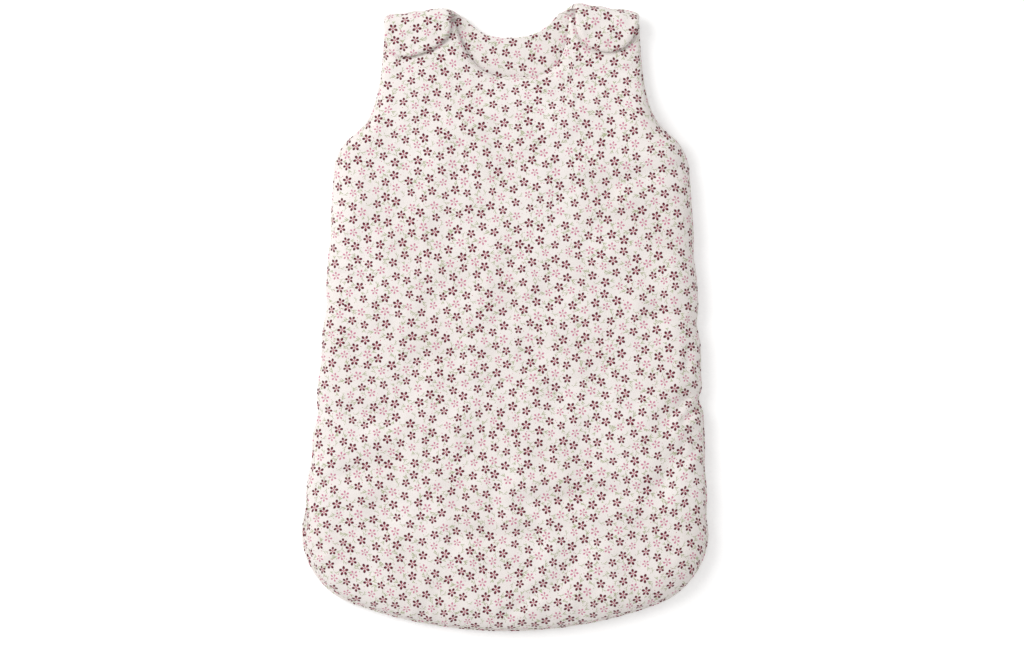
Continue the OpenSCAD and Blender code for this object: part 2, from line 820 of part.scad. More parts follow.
// A tooth grips the tape's edge with two legs and reaches past the middle with a round head
tooth_root = 0.95;              // where the legs begin, from the chain's middle
tooth_end = 2.9;                // where the legs end
module tooth_outline() {
    leg = 0.31 * tooth_pitch;
    neck = 0.16 * tooth_pitch;
    head = 0.24 * tooth_pitch;
    half = [
        [leg, tooth_end], [leg, tooth_root], [neck, tooth_root - 0.6],
        [head, -0.25], [head - 0.2, -0.85]
    ];
    polygon(concat(half, [for (i = [len(half) - 1 : -1 : 0]) mirrored(half[i])]));
}

module tooth_row(first) {
    count = floor((chain_end - fit - 0.31 * tooth_pitch - first) / tooth_pitch);
    for (i = [0 : count]) {
        translate([first + i * tooth_pitch, 0, 0])
        difference() {
            linear_extrude(tooth_thickness, center = true)
            tooth_outline();
            translate([-tooth_pitch, tape_edge, -tape_thickness / 2])
            cube([2 * tooth_pitch, tooth_end, tape_thickness]);
        }
    }
}

slider_start = top_stops_end + fit;
diamond_length = 4.2;           // length of the slider's diamond, between its plates
first_tooth = slider_start + diamond_length + 0.5 * tooth_pitch;

module zip_teeth_front() {
    color(moulded_colour)
    on_zip()
    tooth_row(first_tooth);
}

module zip_teeth_back() {
    color(moulded_colour)
    on_zip()
    mirror([0, 1, 0])
    tooth_row(first_tooth + tooth_pitch / 2);
}

// A stop clamped round the edge of one tape
module top_stop() {
    difference() {
        translate([zip_top, fit / 2, -tooth_thickness / 2])
        cube([top_stop_length, tooth_end - fit / 2, tooth_thickness]);
        translate([zip_top - 1, tape_edge, -tape_thickness / 2])
        cube([top_stop_length + 2, tooth_end, tape_thickness]);
    }
}

module zip_top_stops() {
    color(moulded_colour)
    on_zip() {
        top_stop();
        mirror([0, 1, 0])
        top_stop();
    }
}

module zip_bottom_stop() {
    color(moulded_colour)
    on_zip()
    difference() {
        translate([chain_end, -tooth_end, -tooth_thickness / 2 - 0.3])
        cube([bottom_stop_length, 2 * tooth_end, tooth_thickness + 0.6]);
        for (hand = [0, 1]) {
            mirror([0, hand, 0])
            translate([chain_end - 1, tape_edge, -tape_thickness / 2])
            cube([bottom_stop_length + 2, tooth_end, tape_thickness]);
        }
    }
}

// The guard is sewn to the back and stands behind the chain, so that no skin is caught
guard_thickness = 0.6;
slider_height = tooth_thickness + 2 * fit + 2 * plate_thickness;
module zip_guard() {
    foot_y = -zip_gap / 2 + tape_stack + fit;
    face_z = -slider_height / 2 - 2 * fit;
    color(lining_colour)
    on_zip()
    along_zip(tape_start, tape_end)
    polygon([
        [foot_y, -tape_width], [foot_y, face_z], [-foot_y - fit, face_z],
        [-foot_y - fit, face_z - guard_thickness],
        [foot_y + guard_thickness, face_z - guard_thickness],
        [foot_y + guard_thickness, -tape_width]
    ]);
}

// --- Slider and pull ----------------------------------------------------------------------------

channel_height = tooth_thickness + 2 * fit;
flange_slot = tape_thickness + 2 * fit;
tail_width = 2 * (tooth_end + fit + 0.8);
bail_x = slider_start + 0.55 * slider_length;
bar_z = slider_height / 2 + fit + pull_thickness / 2;

// Outline of a plate: wide shoulders over the two mouths, tapering to the tail
module plate_outline() {
    difference() {
        translate([slider_start, -slider_width / 2])
        square([slider_length, slider_width]);
        for (hand = [0, 1]) {
            mirror([0, hand])
            polygon([
                [slider_start + 0.45 * slider_length, slider_width / 2 + 1],
                [slider_start + 0.45 * slider_length, slider_width / 2],
                [slider_start + slider_length + 1, tail_width / 2],
                [slider_start + slider_length + 1, slider_width / 2 + 1]
            ]);
        }
        for (hand = [0, 1]) {
            mirror([0, hand])
            polygon([
                [slider_start - 1, slider_width / 2 + 1],
                [slider_start - 1, slider_width / 2 - 2],
                [slider_start + 1.6, slider_width / 2],
                [slider_start + 1.6, slider_width / 2 + 1]
            ]);
        }
    }
}

// The wall down each side of a plate stops short of the tape
module slider_walls() {
    wall = slider_width / 2 - tooth_end - fit;
    intersection() {
        linear_extrude(slider_height, center = true)
        plate_outline();
        for (hand = [0, 1]) {
            mirror([0, hand, 0])
            difference() {
                translate([slider_start + diamond_length - 1, tooth_end + fit, -slider_height / 2])
                cube([slider_length, wall, slider_height]);
                translate([slider_start, tooth_end, -flange_slot / 2])
                cube([slider_length + 1, wall + 1, flange_slot]);
            }
        }
    }
}

module slider_plate() {
    translate([0, 0, slider_height / 2 - plate_thickness])
    linear_extrude(plate_thickness)
    plate_outline();
}

// The diamond joins the plates between the two mouths and parts the rows of teeth
module diamond() {
    half_width = tape_edge - fit;
    linear_extrude(channel_height + plate_thickness, center = true)
    polygon([
        [slider_start, -half_width], [slider_start + diamond_length, 0], [slider_start, half_width]
    ]);
}

// The bail is an arch on the outer plate that holds the pull's bar
bail_width = 1.2;
bail_leg = 1;
module bail() {
    inner = pull_thickness / 2 + bore_play;
    outer = inner + bail_leg;
    translate([bail_x, bail_width / 2, bar_z])
    rotate([90, 0, 0])
    linear_extrude(bail_width)
    difference() {
        union() {
            circle(r = outer, $fn = 48);
            translate([-outer, slider_height / 2 - bar_z])
            square([2 * outer, bar_z - slider_height / 2]);
        }
        circle(r = inner, $fn = 48);
    }
}

module zip_slider() {
    color(metal_colour)
    on_zip()
    union() {
        slider_plate();
        mirror([0, 0, 1])
        slider_plate();
        slider_walls();
        diamond();
        bail();
    }
}

// The pull: a flat tongue whose window clears the bail and leaves a round bar across its end
module zip_pull() {
    window_length = bail_leg + pull_thickness + 1.4;
    window_width = bail_width + 2 * fit;
    neck_width = window_width + 2 * 1.1;
    color(metal_colour)
    on_zip()
    translate([bail_x, 0, bar_z]) {
        rotate([90, 0, 0])
        cylinder(d = pull_thickness, h = neck_width, center = true, $fn = 32);
        difference() {
            linear_extrude(pull_thickness, center = true)
            difference() {
                union() {
                    polygon([
                        [0, -neck_width / 2], [pull_length - pull_width / 2, -pull_width / 2],
                        [pull_length - pull_width / 2, pull_width / 2], [0, neck_width / 2]
                    ]);
                    translate([pull_length - pull_width / 2, 0])
                    circle(d = pull_width, $fn = 48);
                }
                translate([0, -window_width / 2])
                square([window_length, window_width]);
                translate([pull_length - pull_width / 2, 0])
                circle(d = pull_width / 3, $fn = 32);
            }
        }
    }
}

back_shell();
back_wadding();
back_lining();
front_shell();
front_wadding();
front_lining();
left_strap_fold();
right_strap_fold();
left_tab_shell();
left_tab_wadding();
left_tab_lining();
right_tab_shell();
right_tab_wadding();
right_tab_lining();
left_snap_cap();
right_snap_cap();
left_snap_socket();
right_snap_socket();
left_snap_stud();
right_snap_stud();
left_stud_rivet();
right_stud_rivet();
zip_tape_back();
zip_tape_front();
zip_teeth_back();
zip_teeth_front();
zip_top_stops();
zip_bottom_stop();
zip_guard();
zip_slider();
zip_pull();
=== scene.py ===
"""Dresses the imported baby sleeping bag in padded, printed cotton, and lights it.

The bag lies flat on its back. x runs across it, y from the feet to the neck and z up. All lengths
are in metres. "Left" and "right" are the viewer's.
"""
import json
import logging
import math
from dataclasses import dataclass
from enum import Enum

import bpy
import numpy as np
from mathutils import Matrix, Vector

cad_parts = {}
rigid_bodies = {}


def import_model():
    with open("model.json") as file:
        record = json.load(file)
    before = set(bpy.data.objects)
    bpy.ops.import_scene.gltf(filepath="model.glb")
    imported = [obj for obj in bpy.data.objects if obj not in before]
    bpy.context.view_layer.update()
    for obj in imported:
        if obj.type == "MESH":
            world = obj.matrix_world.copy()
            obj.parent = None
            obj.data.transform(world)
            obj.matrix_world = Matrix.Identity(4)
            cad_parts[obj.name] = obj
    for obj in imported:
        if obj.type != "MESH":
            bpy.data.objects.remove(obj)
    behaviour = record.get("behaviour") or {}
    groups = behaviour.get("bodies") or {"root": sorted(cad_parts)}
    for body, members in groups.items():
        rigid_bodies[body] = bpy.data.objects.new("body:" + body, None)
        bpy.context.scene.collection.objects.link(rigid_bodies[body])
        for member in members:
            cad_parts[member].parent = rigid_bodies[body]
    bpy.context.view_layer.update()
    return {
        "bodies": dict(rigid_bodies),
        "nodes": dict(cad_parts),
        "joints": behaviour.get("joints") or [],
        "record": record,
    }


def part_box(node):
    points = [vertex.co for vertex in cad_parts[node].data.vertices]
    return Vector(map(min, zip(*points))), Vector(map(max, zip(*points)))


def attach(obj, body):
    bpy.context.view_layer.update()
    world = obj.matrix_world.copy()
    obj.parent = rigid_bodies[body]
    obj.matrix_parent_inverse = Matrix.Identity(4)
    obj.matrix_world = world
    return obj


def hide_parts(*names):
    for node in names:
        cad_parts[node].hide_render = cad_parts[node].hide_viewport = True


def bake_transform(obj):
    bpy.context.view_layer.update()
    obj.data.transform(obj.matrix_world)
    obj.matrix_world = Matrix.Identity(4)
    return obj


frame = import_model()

LOG = logging.getLogger("sleeping_bag")
Array = np.ndarray
Colour = tuple[float, float, float]
Point = tuple[float, float]


class Hand(Enum):
    """Side of the bag, as the sign of its x."""

    LEFT = -1
    RIGHT = 1


class Part(Enum):
    """Material places of a padded piece."""

    OUTSIDE = 0
    INSIDE = 1


# --- Small functions ------------------------------------------------------------------------------


def mix(a: Array | float, b: Array | float, share: Array | float) -> Array:
    """Returns a where share is 0 and b where it is 1."""
    return a + (b - a) * share


def smooth(share: Array | float) -> Array:
    """Returns share, held to 0..1, with its ends eased."""
    held = np.clip(share, 0, 1)
    return held * held * (3 - 2 * held)


def dense_ends(share: Array, power: float) -> Array:
    """Returns shares of 0..1 that crowd towards both ends."""
    return share**power / (share**power + (1 - share) ** power)


def rounded(distance: Array, width: float) -> Array:
    """Returns a quarter-round rise from 0 at an edge to 1 at width from it."""
    return np.sqrt(1 - (1 - np.clip(distance / width, 0, 1)) ** 2)


def bump(distance: Array | float, width: float) -> Array:
    """Returns a bell, 1 at no distance and fading over width."""
    return np.exp(-((distance / width) ** 2))


def bezier(a: Point, b: Point, c: Point, d: Point, steps: int = 96) -> Array:
    """Draws a cubic curve.

    Args:
        a: its start.
        b: the handle of its start.
        c: the handle of its end.
        d: its end.
        steps: how many steps it is cut into.

    Returns:
        The points between its steps, with both ends.
    """
    t = np.linspace(0, 1, steps + 1)[:, None]
    corners = [np.array(p, float) for p in (a, b, c, d)]
    weights = ((1 - t) ** 3, 3 * (1 - t) ** 2 * t, 3 * (1 - t) * t**2, t**3)
    return sum(w * p for w, p in zip(weights, corners))


def run_of(line: Array) -> Array:
    """Returns how far along a line each of its points lies."""
    return np.concatenate([[0.0], np.cumsum(np.linalg.norm(np.diff(line, axis=0), axis=1))])


def resampled(line: Array, shares: Array) -> Array:
    """Returns the points at the given shares of a line's length."""
    run = run_of(line)
    return np.stack([np.interp(shares * run[-1], run, line[:, k]) for k in (0, 1)], axis=1)


def nearest(points: Array, line: Array) -> tuple[Array, Array]:
    """Measures points from a line.

    Args:
        points: points in the plane, of any shape that ends in 2.
        line: the line's points.

    Returns:
        The distance of each point, and how far along the line its nearest place lies.
    """
    flat = points.reshape(-1, 2)
    best = np.full(len(flat), np.inf)
    place = np.zeros(len(flat))
    run = run_of(line)
    for a, b, start in zip(line[:-1], line[1:], run[:-1]):
        ab = b - a
        length = float(np.hypot(*ab))
        if length == 0:
            continue
        share = np.clip((flat - a) @ ab / length**2, 0, 1)
        away = np.hypot(*(flat - a - share[:, None] * ab).T)
        closer = away < best
        best[closer] = away[closer]
        place[closer] = start + share[closer] * length
    return best.reshape(points.shape[:-1]), place.reshape(points.shape[:-1])


def ripples(points: Array, shortest: float, longest: float, seed: int, waves: int = 14) -> Array:
    """Works out smooth unevenness of about unit size.

    Args:
        points: places, of any shape that ends in the number of directions.
        shortest: shortest wavelength.
        longest: longest wavelength.
        seed: seed of the draw.
        waves: how many waves are added up.

    Returns:
        The unevenness at each place.
    """
    rng = np.random.default_rng(seed)
    total = np.zeros(points.shape[:-1])
    for _ in range(waves):
        heading = rng.normal(size=points.shape[-1])
        heading /= np.linalg.norm(heading)
        length = rng.uniform(shortest, longest)
        total += np.cos(points @ heading * (2 * math.pi / length) + rng.uniform(0, 2 * math.pi))
    return total * math.sqrt(2 / waves)


def patch(bottom: Array, side: Array, top: Array, bow: float) -> Array:
    """Fills a half outline with a grid.

    Args:
        bottom: points from the middle line to the outline's corner.
        side: points from the corner up to the top edge's end, as many as rows are wanted.
        top: points from the middle line to that end, as many as bottom has.
        bow: how far the grid bows away from the corner, where the outline runs on smoothly.

    Returns:
        The grid's points, rows from bottom to top.
    """
    run = run_of(side)
    v = (run / run[-1])[:, None, None]
    u = ((bottom[:, 0] - bottom[0, 0]) / (bottom[-1, 0] - bottom[0, 0]))[None, :, None]
    ends = mix(bottom[-1], top[-1], v)
    grid = mix(bottom[None], top[None], v) + u * (side[:, None] - ends)
    middle = (top[0] + bottom[0]) / 2 - bottom[-1]
    inwards = middle / np.linalg.norm(middle)
    return grid + bow * np.sqrt((1 - u) * v) * (u * (1 - v)) ** 5 * inwards


# --- Sizes and outlines ---------------------------------------------------------------------------


@dataclass(frozen=True)
class BagSizes:
    """The bag's sizes. They are the part's own, but for a smaller rounding along the tabs.

    Args:
        length: length from the shoulder folds to the bottom seam.
        hip_width: width across the hips, the widest place.
        chest_width: width under the arms.
        corner_radius: radius of the bottom corners.
        corner_height: height of the corners' centres above the bottom seam.
        neck_width: width between the two straps.
        back_neck_depth: depth of the back neckline below the shoulder folds.
        front_neck_depth: depth of the front neckline below the shoulder folds.
        armhole_depth: depth of the armholes below the shoulder folds.
        armhole_upright: reach of the armhole's upright upper stretch.
        armhole_scoop: reach of the armhole's curve where it meets the side.
        strap_width: width of a shoulder strap.
        shoulder_slope: slope of the shoulders.
        back_loft: thickness of the back panel.
        front_loft: thickness of the front panel.
        strap_loft: thickness of both panels at the straps.
        seam_edge: thickness of a panel at its sewn edge.
        side_rounding: width of the soft rounding along the sides and the bottom.
        hem_rounding: width of the rounding along the neck, the armholes and the straps.
        crease_depth: depth of a crease whose own depth is 1.
        crease_width: width of such a crease from its middle to where it fades.
        ridge_share: height of the ridges beside a crease, as a share of its depth.
        ridge_distance: their distance from it, in crease widths.
        swell_depth: depth of the front's broad hollows.
        swell_length: distance from one hollow to the next.
        cavity_gap: height of the space between the panels.
        strap_gap: height of the space between the two straps of a shoulder.
        tab_loft: thickness of a tab.
        tab_edge: thickness of a tab at its edge.
        tab_press: depth of the groove that a tab's edge presses into the strap under it.
        tab_press_out: how far outside the tab's edge that groove lies.
        tab_rounding: width of the rounding along a tab's edge.
        fit: gap between a tab and the strap under it.
        zip_gap: height of the space between the panels' edges at the zip.
        zip_reach: how far below the underarm the zip ends.
        slot_tail: length over which the edges close below the zip.
        fold_reach: distance of the fold line's inner end below the bag's top.
        front_strap_short: how far before the fold line the front strap ends.
    """

    length: float = 0.700
    hip_width: float = 0.452
    chest_width: float = 0.396
    corner_radius: float = 0.085
    corner_height: float = 0.110
    neck_width: float = 0.132
    back_neck_depth: float = 0.036
    front_neck_depth: float = 0.081
    armhole_depth: float = 0.180
    armhole_upright: float = 0.148
    armhole_scoop: float = 0.060
    strap_width: float = 0.077
    shoulder_slope: float = math.radians(7)
    back_loft: float = 0.012
    front_loft: float = 0.014
    strap_loft: float = 0.009
    seam_edge: float = 0.0026
    side_rounding: float = 0.034
    hem_rounding: float = 0.018
    crease_depth: float = 0.0034
    crease_width: float = 0.011
    ridge_share: float = 0.4
    ridge_distance: float = 2.1
    swell_depth: float = 0.0020
    swell_length: float = 0.136
    cavity_gap: float = 0.012
    strap_gap: float = 0.003
    tab_loft: float = 0.0058
    tab_edge: float = 0.0036
    tab_press: float = 0.0022
    tab_press_out: float = 0.0010
    tab_rounding: float = 0.0055
    fit: float = 0.0003
    zip_gap: float = 0.0102
    zip_reach: float = 0.3845
    slot_tail: float = 0.024
    fold_reach: float = 0.011846
    front_strap_short: float = 0.004

    @property
    def top_y(self) -> float:
        """Level of the shoulder folds."""
        return self.length / 2

    @property
    def seam_z(self) -> float:
        """Height of the seams."""
        return self.back_loft

    @property
    def tab_z(self) -> float:
        """Height of the tabs' undersides."""
        return self.seam_z + self.strap_gap + self.strap_loft + self.fit

    @property
    def across(self) -> Array:
        """Direction along the right fold line, outwards."""
        return np.array([math.cos(self.shoulder_slope), -math.sin(self.shoulder_slope)])

    @property
    def along(self) -> Array:
        """Direction along the right strap, upwards."""
        return np.array([math.sin(self.shoulder_slope), math.cos(self.shoulder_slope)])

    @property
    def fold_start(self) -> Array:
        """Inner end of the right fold line."""
        return np.array([self.neck_width / 2, self.top_y - self.fold_reach])

    @property
    def underarm(self) -> Array:
        """Where the right side meets the armhole."""
        return np.array([self.chest_width / 2, self.top_y - self.armhole_depth])

    def thinning(self, y: Array) -> Array:
        """Works out how far the padding has thinned towards the straps.

        Args:
            y: levels along the bag.

        Returns:
            The thinning at each level, 0 to 1.
        """
        start = self.top_y - self.armhole_depth + 0.035
        end = self.top_y - self.front_neck_depth + 0.005
        return smooth((y - start) / (end - start))


@dataclass(frozen=True)
class BagOutline:
    """Lines of the bag's right half in the plane."""

    sizes: BagSizes

    def lower_edge(self) -> Array:
        """Draws the line from the middle of the bottom seam to the corner and up to the underarm.

        Returns:
            The line's points.
        """
        s = self.sizes
        centre = np.array([s.hip_width / 2 - s.corner_radius, s.corner_height - s.length / 2])
        squares = centre[0] ** 2 + s.corner_height**2 - s.corner_radius**2
        radius = squares / (2 * (s.corner_height - s.corner_radius))
        meets = math.asin(centre[0] / (radius - s.corner_radius))
        angles = np.linspace(0, meets, 60)
        arc = np.stack([radius * np.sin(angles), radius - s.length / 2 - radius * np.cos(angles)], 1)
        reach = s.underarm - centre
        turn = math.atan2(reach[1], reach[0]) - math.acos(s.corner_radius / np.linalg.norm(reach))
        angles = np.linspace(meets - math.pi / 2, turn, 60)
        round_corner = centre + s.corner_radius * np.stack([np.cos(angles), np.sin(angles)], 1)
        straight = mix(round_corner[-1], s.underarm, np.linspace(0, 1, 90)[:, None])
        return np.concatenate([arc, round_corner[1:], straight[1:]])

    def armhole(self, shoulder: Array) -> Array:
        """Draws the line from the underarm to the strap's outer corner.

        Args:
            shoulder: inner corner of the strap's end.

        Returns:
            The line's points.
        """
        s = self.sizes
        corner = shoulder + s.strap_width * s.across
        heading = math.radians(105)
        first = s.underarm + s.armhole_scoop * np.array([math.cos(heading), math.sin(heading)])
        second = corner + np.array([0.004, -s.armhole_upright])
        return bezier(tuple(s.underarm), tuple(first), tuple(second), tuple(corner))

    def front_neck(self, hand: Hand) -> Array:
        """Draws the front neckline from its middle to the strap, squarer on the right.

        Args:
            hand: which half.

        Returns:
            The line's points, as they would lie in the right half.
        """
        s = self.sizes
        low = s.top_y - s.front_neck_depth
        if hand is Hand.LEFT:
            first, second = (0.026, low - 0.0015), (0.050, low + 0.008)
        else:
            first, second = (0.034, low - 0.0015), (0.062, low + 0.001)
        return bezier((0, low), first, second, tuple(self.front_shoulder))

    def back_neck(self) -> Array:
        """Draws the back neckline from its middle to where it runs into the fold.

        Returns:
            The line's points.
        """
        s = self.sizes
        end = s.fold_start - 0.012 * s.across
        low = s.top_y - s.back_neck_depth
        return bezier((0, low), (0.026, low - 0.001), (0.040, low + 0.008), tuple(end))

    @property
    def front_shoulder(self) -> Array:
        """Inner corner of the front strap's end."""
        return self.sizes.fold_start - self.sizes.front_strap_short * self.sizes.along


@dataclass(frozen=True)
class Crease:
    """A soft fold between two places.

    Args:
        start: where it begins, as shares of half the width and half the length.
        end: where it ends.
        depth: its depth, as a share of the bag's crease depth.
        width: its width, as a share of the bag's crease width.
        core: depth of the narrow line along its middle, as a share of the crease's own.
        core_width: width of that line, as a share of the crease's own.
        start_fade: share of the fold's length over which the line begins.
        end_fade: the same at its end.
    """

    start: Point
    end: Point
    depth: float
    width: float = 1.0
    core: float = 0.35
    core_width: float = 0.36
    start_fade: float = 0.2
    end_fade: float = 0.4

    def height(self, places: Array, sizes: BagSizes) -> Array:
        """Works out the fold's height: a valley with a low ridge on both sides.

        Args:
            places: places in the plane.
            sizes: the bag's sizes.

        Returns:
            The height at each place.
        """
        half = np.array([sizes.hip_width, sizes.length]) / 2
        line = np.stack([np.array(self.start) * half, np.array(self.end) * half])
        away, place = nearest(places, line)
        share = place / run_of(line)[-1]
        away = away / (sizes.crease_width * self.width)
        valley = bump(away, 1) - sizes.ridge_share * bump(away - sizes.ridge_distance, 1)
        fade = smooth(share / self.start_fade) * smooth((1 - share) / self.end_fade)
        core = self.core * bump(away, self.core_width) * fade
        return -sizes.crease_depth * self.depth * (valley + core)


@dataclass(frozen=True)
class Pinch:
    """A place where the edge is drawn in a little.

    Args:
        hand: which side.
        y: its level.
        depth: how far the edge is drawn in.
        width: how far it reaches along the edge.
    """

    hand: Hand
    y: float
    depth: float
    width: float = 0.014


# The solids have these too, and there the second one is deeper
MAIN_CREASES = (
    Crease((0.93, -0.24), (0.78, -0.33), 0.9, core=0.7),
    Crease((0.91, -0.37), (0.74, -0.55), 0.7, core=0.2),
    Crease((0.74, -0.55), (0.09, -0.59), 0.6, core=0.0),
    Crease((-0.24, -0.70), (0.13, -0.70), 0.75, core=0.0),
    Crease((0.24, -0.86), (0.38, -0.74), 0.5),
    Crease((0.94, 0.01), (0.73, 0.02), 0.7, core=0.6),
    Crease((0.90, 0.50), (0.50, 0.42), 0.65),
    Crease((-0.92, -0.28), (-0.64, -0.33), 0.5),
    Crease((-0.94, -0.53), (-0.60, -0.46), 0.35),
)

SMALL_CREASES = (
    Crease((0.99, -0.262), (0.86, -0.330), 0.95, 0.36, 0.0),
    Crease((0.99, -0.385), (0.92, -0.410), 0.55, 0.36, 0.0),
    Crease((0.99, -0.020), (0.90, -0.005), 0.60, 0.36, 0.0),
    Crease((0.94, -0.30), (0.86, -0.32), 0.30, 0.4),
    Crease((0.88, -0.10), (0.87, -0.18), 0.35, 0.45),
    Crease((0.94, -0.42), (0.87, -0.46), 0.30, 0.45),
    Crease((0.00, -0.95), (0.16, -0.87), 0.40, 0.6),
    Crease((-0.36, 0.75), (-0.16, 0.70), 0.40, 1.1, 0.0),
    Crease((0.28, 0.76), (0.54, 0.69), 0.40, 1.1, 0.0),
    Crease((-0.45, -0.13), (-0.08, -0.13), 0.30, 0.8, 0.0),
    Crease((-0.78, -0.30), (-0.72, -0.33), 0.40, 0.9, 0.0),
    Crease((0.40, 0.44), (0.50, 0.40), 0.40, 0.8, 0.0),
)

PINCHES = (
    Pinch(Hand.LEFT, 0.090, 0.0014), Pinch(Hand.LEFT, 0.012, 0.0030),
    Pinch(Hand.LEFT, -0.050, 0.0016), Pinch(Hand.LEFT, -0.110, 0.0034),
    Pinch(Hand.LEFT, -0.160, 0.0016), Pinch(Hand.LEFT, -0.214, 0.0022),
    Pinch(Hand.RIGHT, 0.069, 0.0018), Pinch(Hand.RIGHT, -0.008, 0.0032),
    Pinch(Hand.RIGHT, -0.059, 0.0012), Pinch(Hand.RIGHT, -0.092, 0.0050, 0.010),
    Pinch(Hand.RIGHT, -0.170, 0.0014), Pinch(Hand.RIGHT, -0.225, 0.0020),
)


# --- Meshes ---------------------------------------------------------------------------------------


def edge_order(rows: int, columns: int) -> list[tuple[int, int]]:
    """Lists a grid's places round its edge, counter-clockwise from the bottom left.

    Args:
        rows: how many rows the grid has.
        columns: how many columns it has.

    Returns:
        The row and the column of each place.
    """
    return (
        [(0, i) for i in range(columns)]
        + [(j, columns - 1) for j in range(1, rows)]
        + [(rows - 1, i) for i in range(columns - 2, -1, -1)]
        + [(j, 0) for j in range(rows - 2, 0, -1)]
    )


def grid_cells(rows: int, columns: int) -> Array:
    """Lists the corners of each cell of a grid of points.

    Args:
        rows: how many rows of points the grid has.
        columns: how many columns it has.

    Returns:
        Four points for each cell, as numbers counted row by row.
    """
    count = np.arange(rows * columns).reshape(rows, columns)
    corners = (count[:-1, :-1], count[:-1, 1:], count[1:, 1:], count[1:, :-1])
    return np.stack(corners, -1).reshape(-1, 4)


def new_object(name: str, data: bpy.types.ID) -> bpy.types.Object:
    """Makes an object in the scene.

    Args:
        name: its name.
        data: its mesh, lamp or camera.

    Returns:
        The object.
    """
    made = bpy.data.objects.new(name, data)
    bpy.context.scene.collection.objects.link(made)
    return made


@dataclass
class Padding:
    """A closed, padded piece between an upper and a lower surface.

    Args:
        name: name of the piece.
        upper: grid of points of the surface that faces up, rows from bottom to top.
        lower: grid of points of the surface that faces down, as large as upper.
        cloth_upper: where each point of upper lies on the flat cloth.
        cloth_lower: where each point of lower lies on the flat cloth.
        upper_part: the part that the upper surface and the rim belong to; the lower is the other.
        rim_bulge: how far the rim swells out between the two surfaces.
        rim_steps: rings in the rim.
    """

    name: str
    upper: Array
    lower: Array
    cloth_upper: Array
    cloth_lower: Array
    upper_part: Part = Part.OUTSIDE
    rim_bulge: float = 0.0013
    rim_steps: int = 4

    def build(self) -> bpy.types.Object:
        """Makes the piece.

        Returns:
            The piece.
        """
        rows, columns = self.upper.shape[:2]
        size = rows * columns
        order = edge_order(rows, columns)
        top_ring = np.array([self.upper[p] for p in order])
        low_ring = np.array([self.lower[p] for p in order])
        cloth_ring = np.array([self.cloth_upper[p] for p in order])
        ahead = np.roll(top_ring, -1, axis=0) - np.roll(top_ring, 1, axis=0)
        outwards = np.stack([ahead[:, 1], -ahead[:, 0], np.zeros(len(order))], 1)
        outwards /= np.maximum(np.linalg.norm(outwards, axis=1, keepdims=True), 1e-9)
        rings, cloth_rings = [], []
        for k in range(1, self.rim_steps + 1):
            share = k / (self.rim_steps + 1)
            turn = math.pi * share
            point = mix(top_ring, low_ring, (1 - math.cos(turn)) / 2)
            rings.append(point + self.rim_bulge * math.sin(turn) * outwards)
            gap = np.linalg.norm(top_ring - low_ring, axis=1, keepdims=True)
            cloth_rings.append(cloth_ring + share * gap * outwards[:, :2])
        points = np.concatenate([self.upper.reshape(-1, 3), self.lower.reshape(-1, 3), *rings])
        cloth = np.concatenate(
            [self.cloth_upper.reshape(-1, 2), self.cloth_lower.reshape(-1, 2), *cloth_rings]
        )
        quads = grid_cells(rows, columns)
        edge = np.array([j * columns + i for j, i in order])
        count = len(edge)
        loops = [edge]
        loops += [2 * size + k * count + np.arange(count) for k in range(self.rim_steps)]
        loops.append(edge + size)
        sides = [
            np.stack([low, np.roll(low, -1), np.roll(high, -1), high], 1)
            for high, low in zip(loops[:-1], loops[1:])
        ]
        side_count = sum(len(s) for s in sides)
        faces = np.concatenate([quads, quads[:, ::-1] + size, *sides])
        other = Part.INSIDE if self.upper_part is Part.OUTSIDE else Part.OUTSIDE
        parts = np.concatenate([
            np.full(len(quads), self.upper_part.value), np.full(len(quads), other.value),
            np.full(side_count, Part.OUTSIDE.value),
        ])
        return mesh_object(self.name, points, faces, parts, cloth)


def mesh_object(
    name: str, points: Array, faces: Array, parts: Array, cloth: Array
) -> bpy.types.Object:
    """Makes a smooth mesh object.

    Args:
        name: name of the object.
        points: its points.
        faces: its four-sided faces.
        parts: material place of each face.
        cloth: where each point lies on the flat cloth, kept for the print and the weave.

    Returns:
        The object, linked to the scene.
    """
    mesh = bpy.data.meshes.new(name)
    mesh.vertices.add(len(points))
    mesh.vertices.foreach_set("co", points.astype(np.float32).ravel())
    mesh.loops.add(faces.size)
    mesh.loops.foreach_set("vertex_index", faces.astype(np.int32).ravel())
    mesh.polygons.add(len(faces))
    mesh.polygons.foreach_set("loop_start", np.arange(0, faces.size, 4, dtype=np.int32))
    mesh.polygons.foreach_set("material_index", parts.astype(np.int32))
    mesh.polygons.foreach_set("use_smooth", np.ones(len(faces), dtype=bool))
    mesh.update(calc_edges=True)
    mesh.validate()
    layer = mesh.attributes.new("cloth", "FLOAT_VECTOR", "POINT")
    flat = np.concatenate([cloth, np.zeros((len(cloth), 1))], 1)
    layer.data.foreach_set("vector", flat.astype(np.float32).ravel())
    return new_object(name, mesh)


def with_heights(grid: Array, heights: Array) -> Array:
    """Returns a grid of the plane raised to the given heights."""
    return np.concatenate([grid, heights[..., None]], -1)


def finer(coarse: Array) -> Array:
    """Makes a grid of values finer, with one more between every two and its steps eased.

    Args:
        coarse: grid of values.

    Returns:
        The finer grid.
    """
    rows, columns = coarse.shape[:2]
    fine = np.zeros((2 * rows - 1, 2 * columns - 1, *coarse.shape[2:]))
    fine[::2, ::2] = coarse
    fine[1::2, ::2] = (coarse[:-1] + coarse[1:]) / 2
    fine[:, 1::2] = (fine[:, :-2:2] + fine[:, 2::2]) / 2
    eased = fine.copy()
    eased[1:-1] = (fine[:-2] + 2 * fine[1:-1] + fine[2:]) / 4
    across = eased.copy()
    across[:, 1:-1] = (eased[:, :-2] + 2 * eased[:, 1:-1] + eased[:, 2:]) / 4
    return across


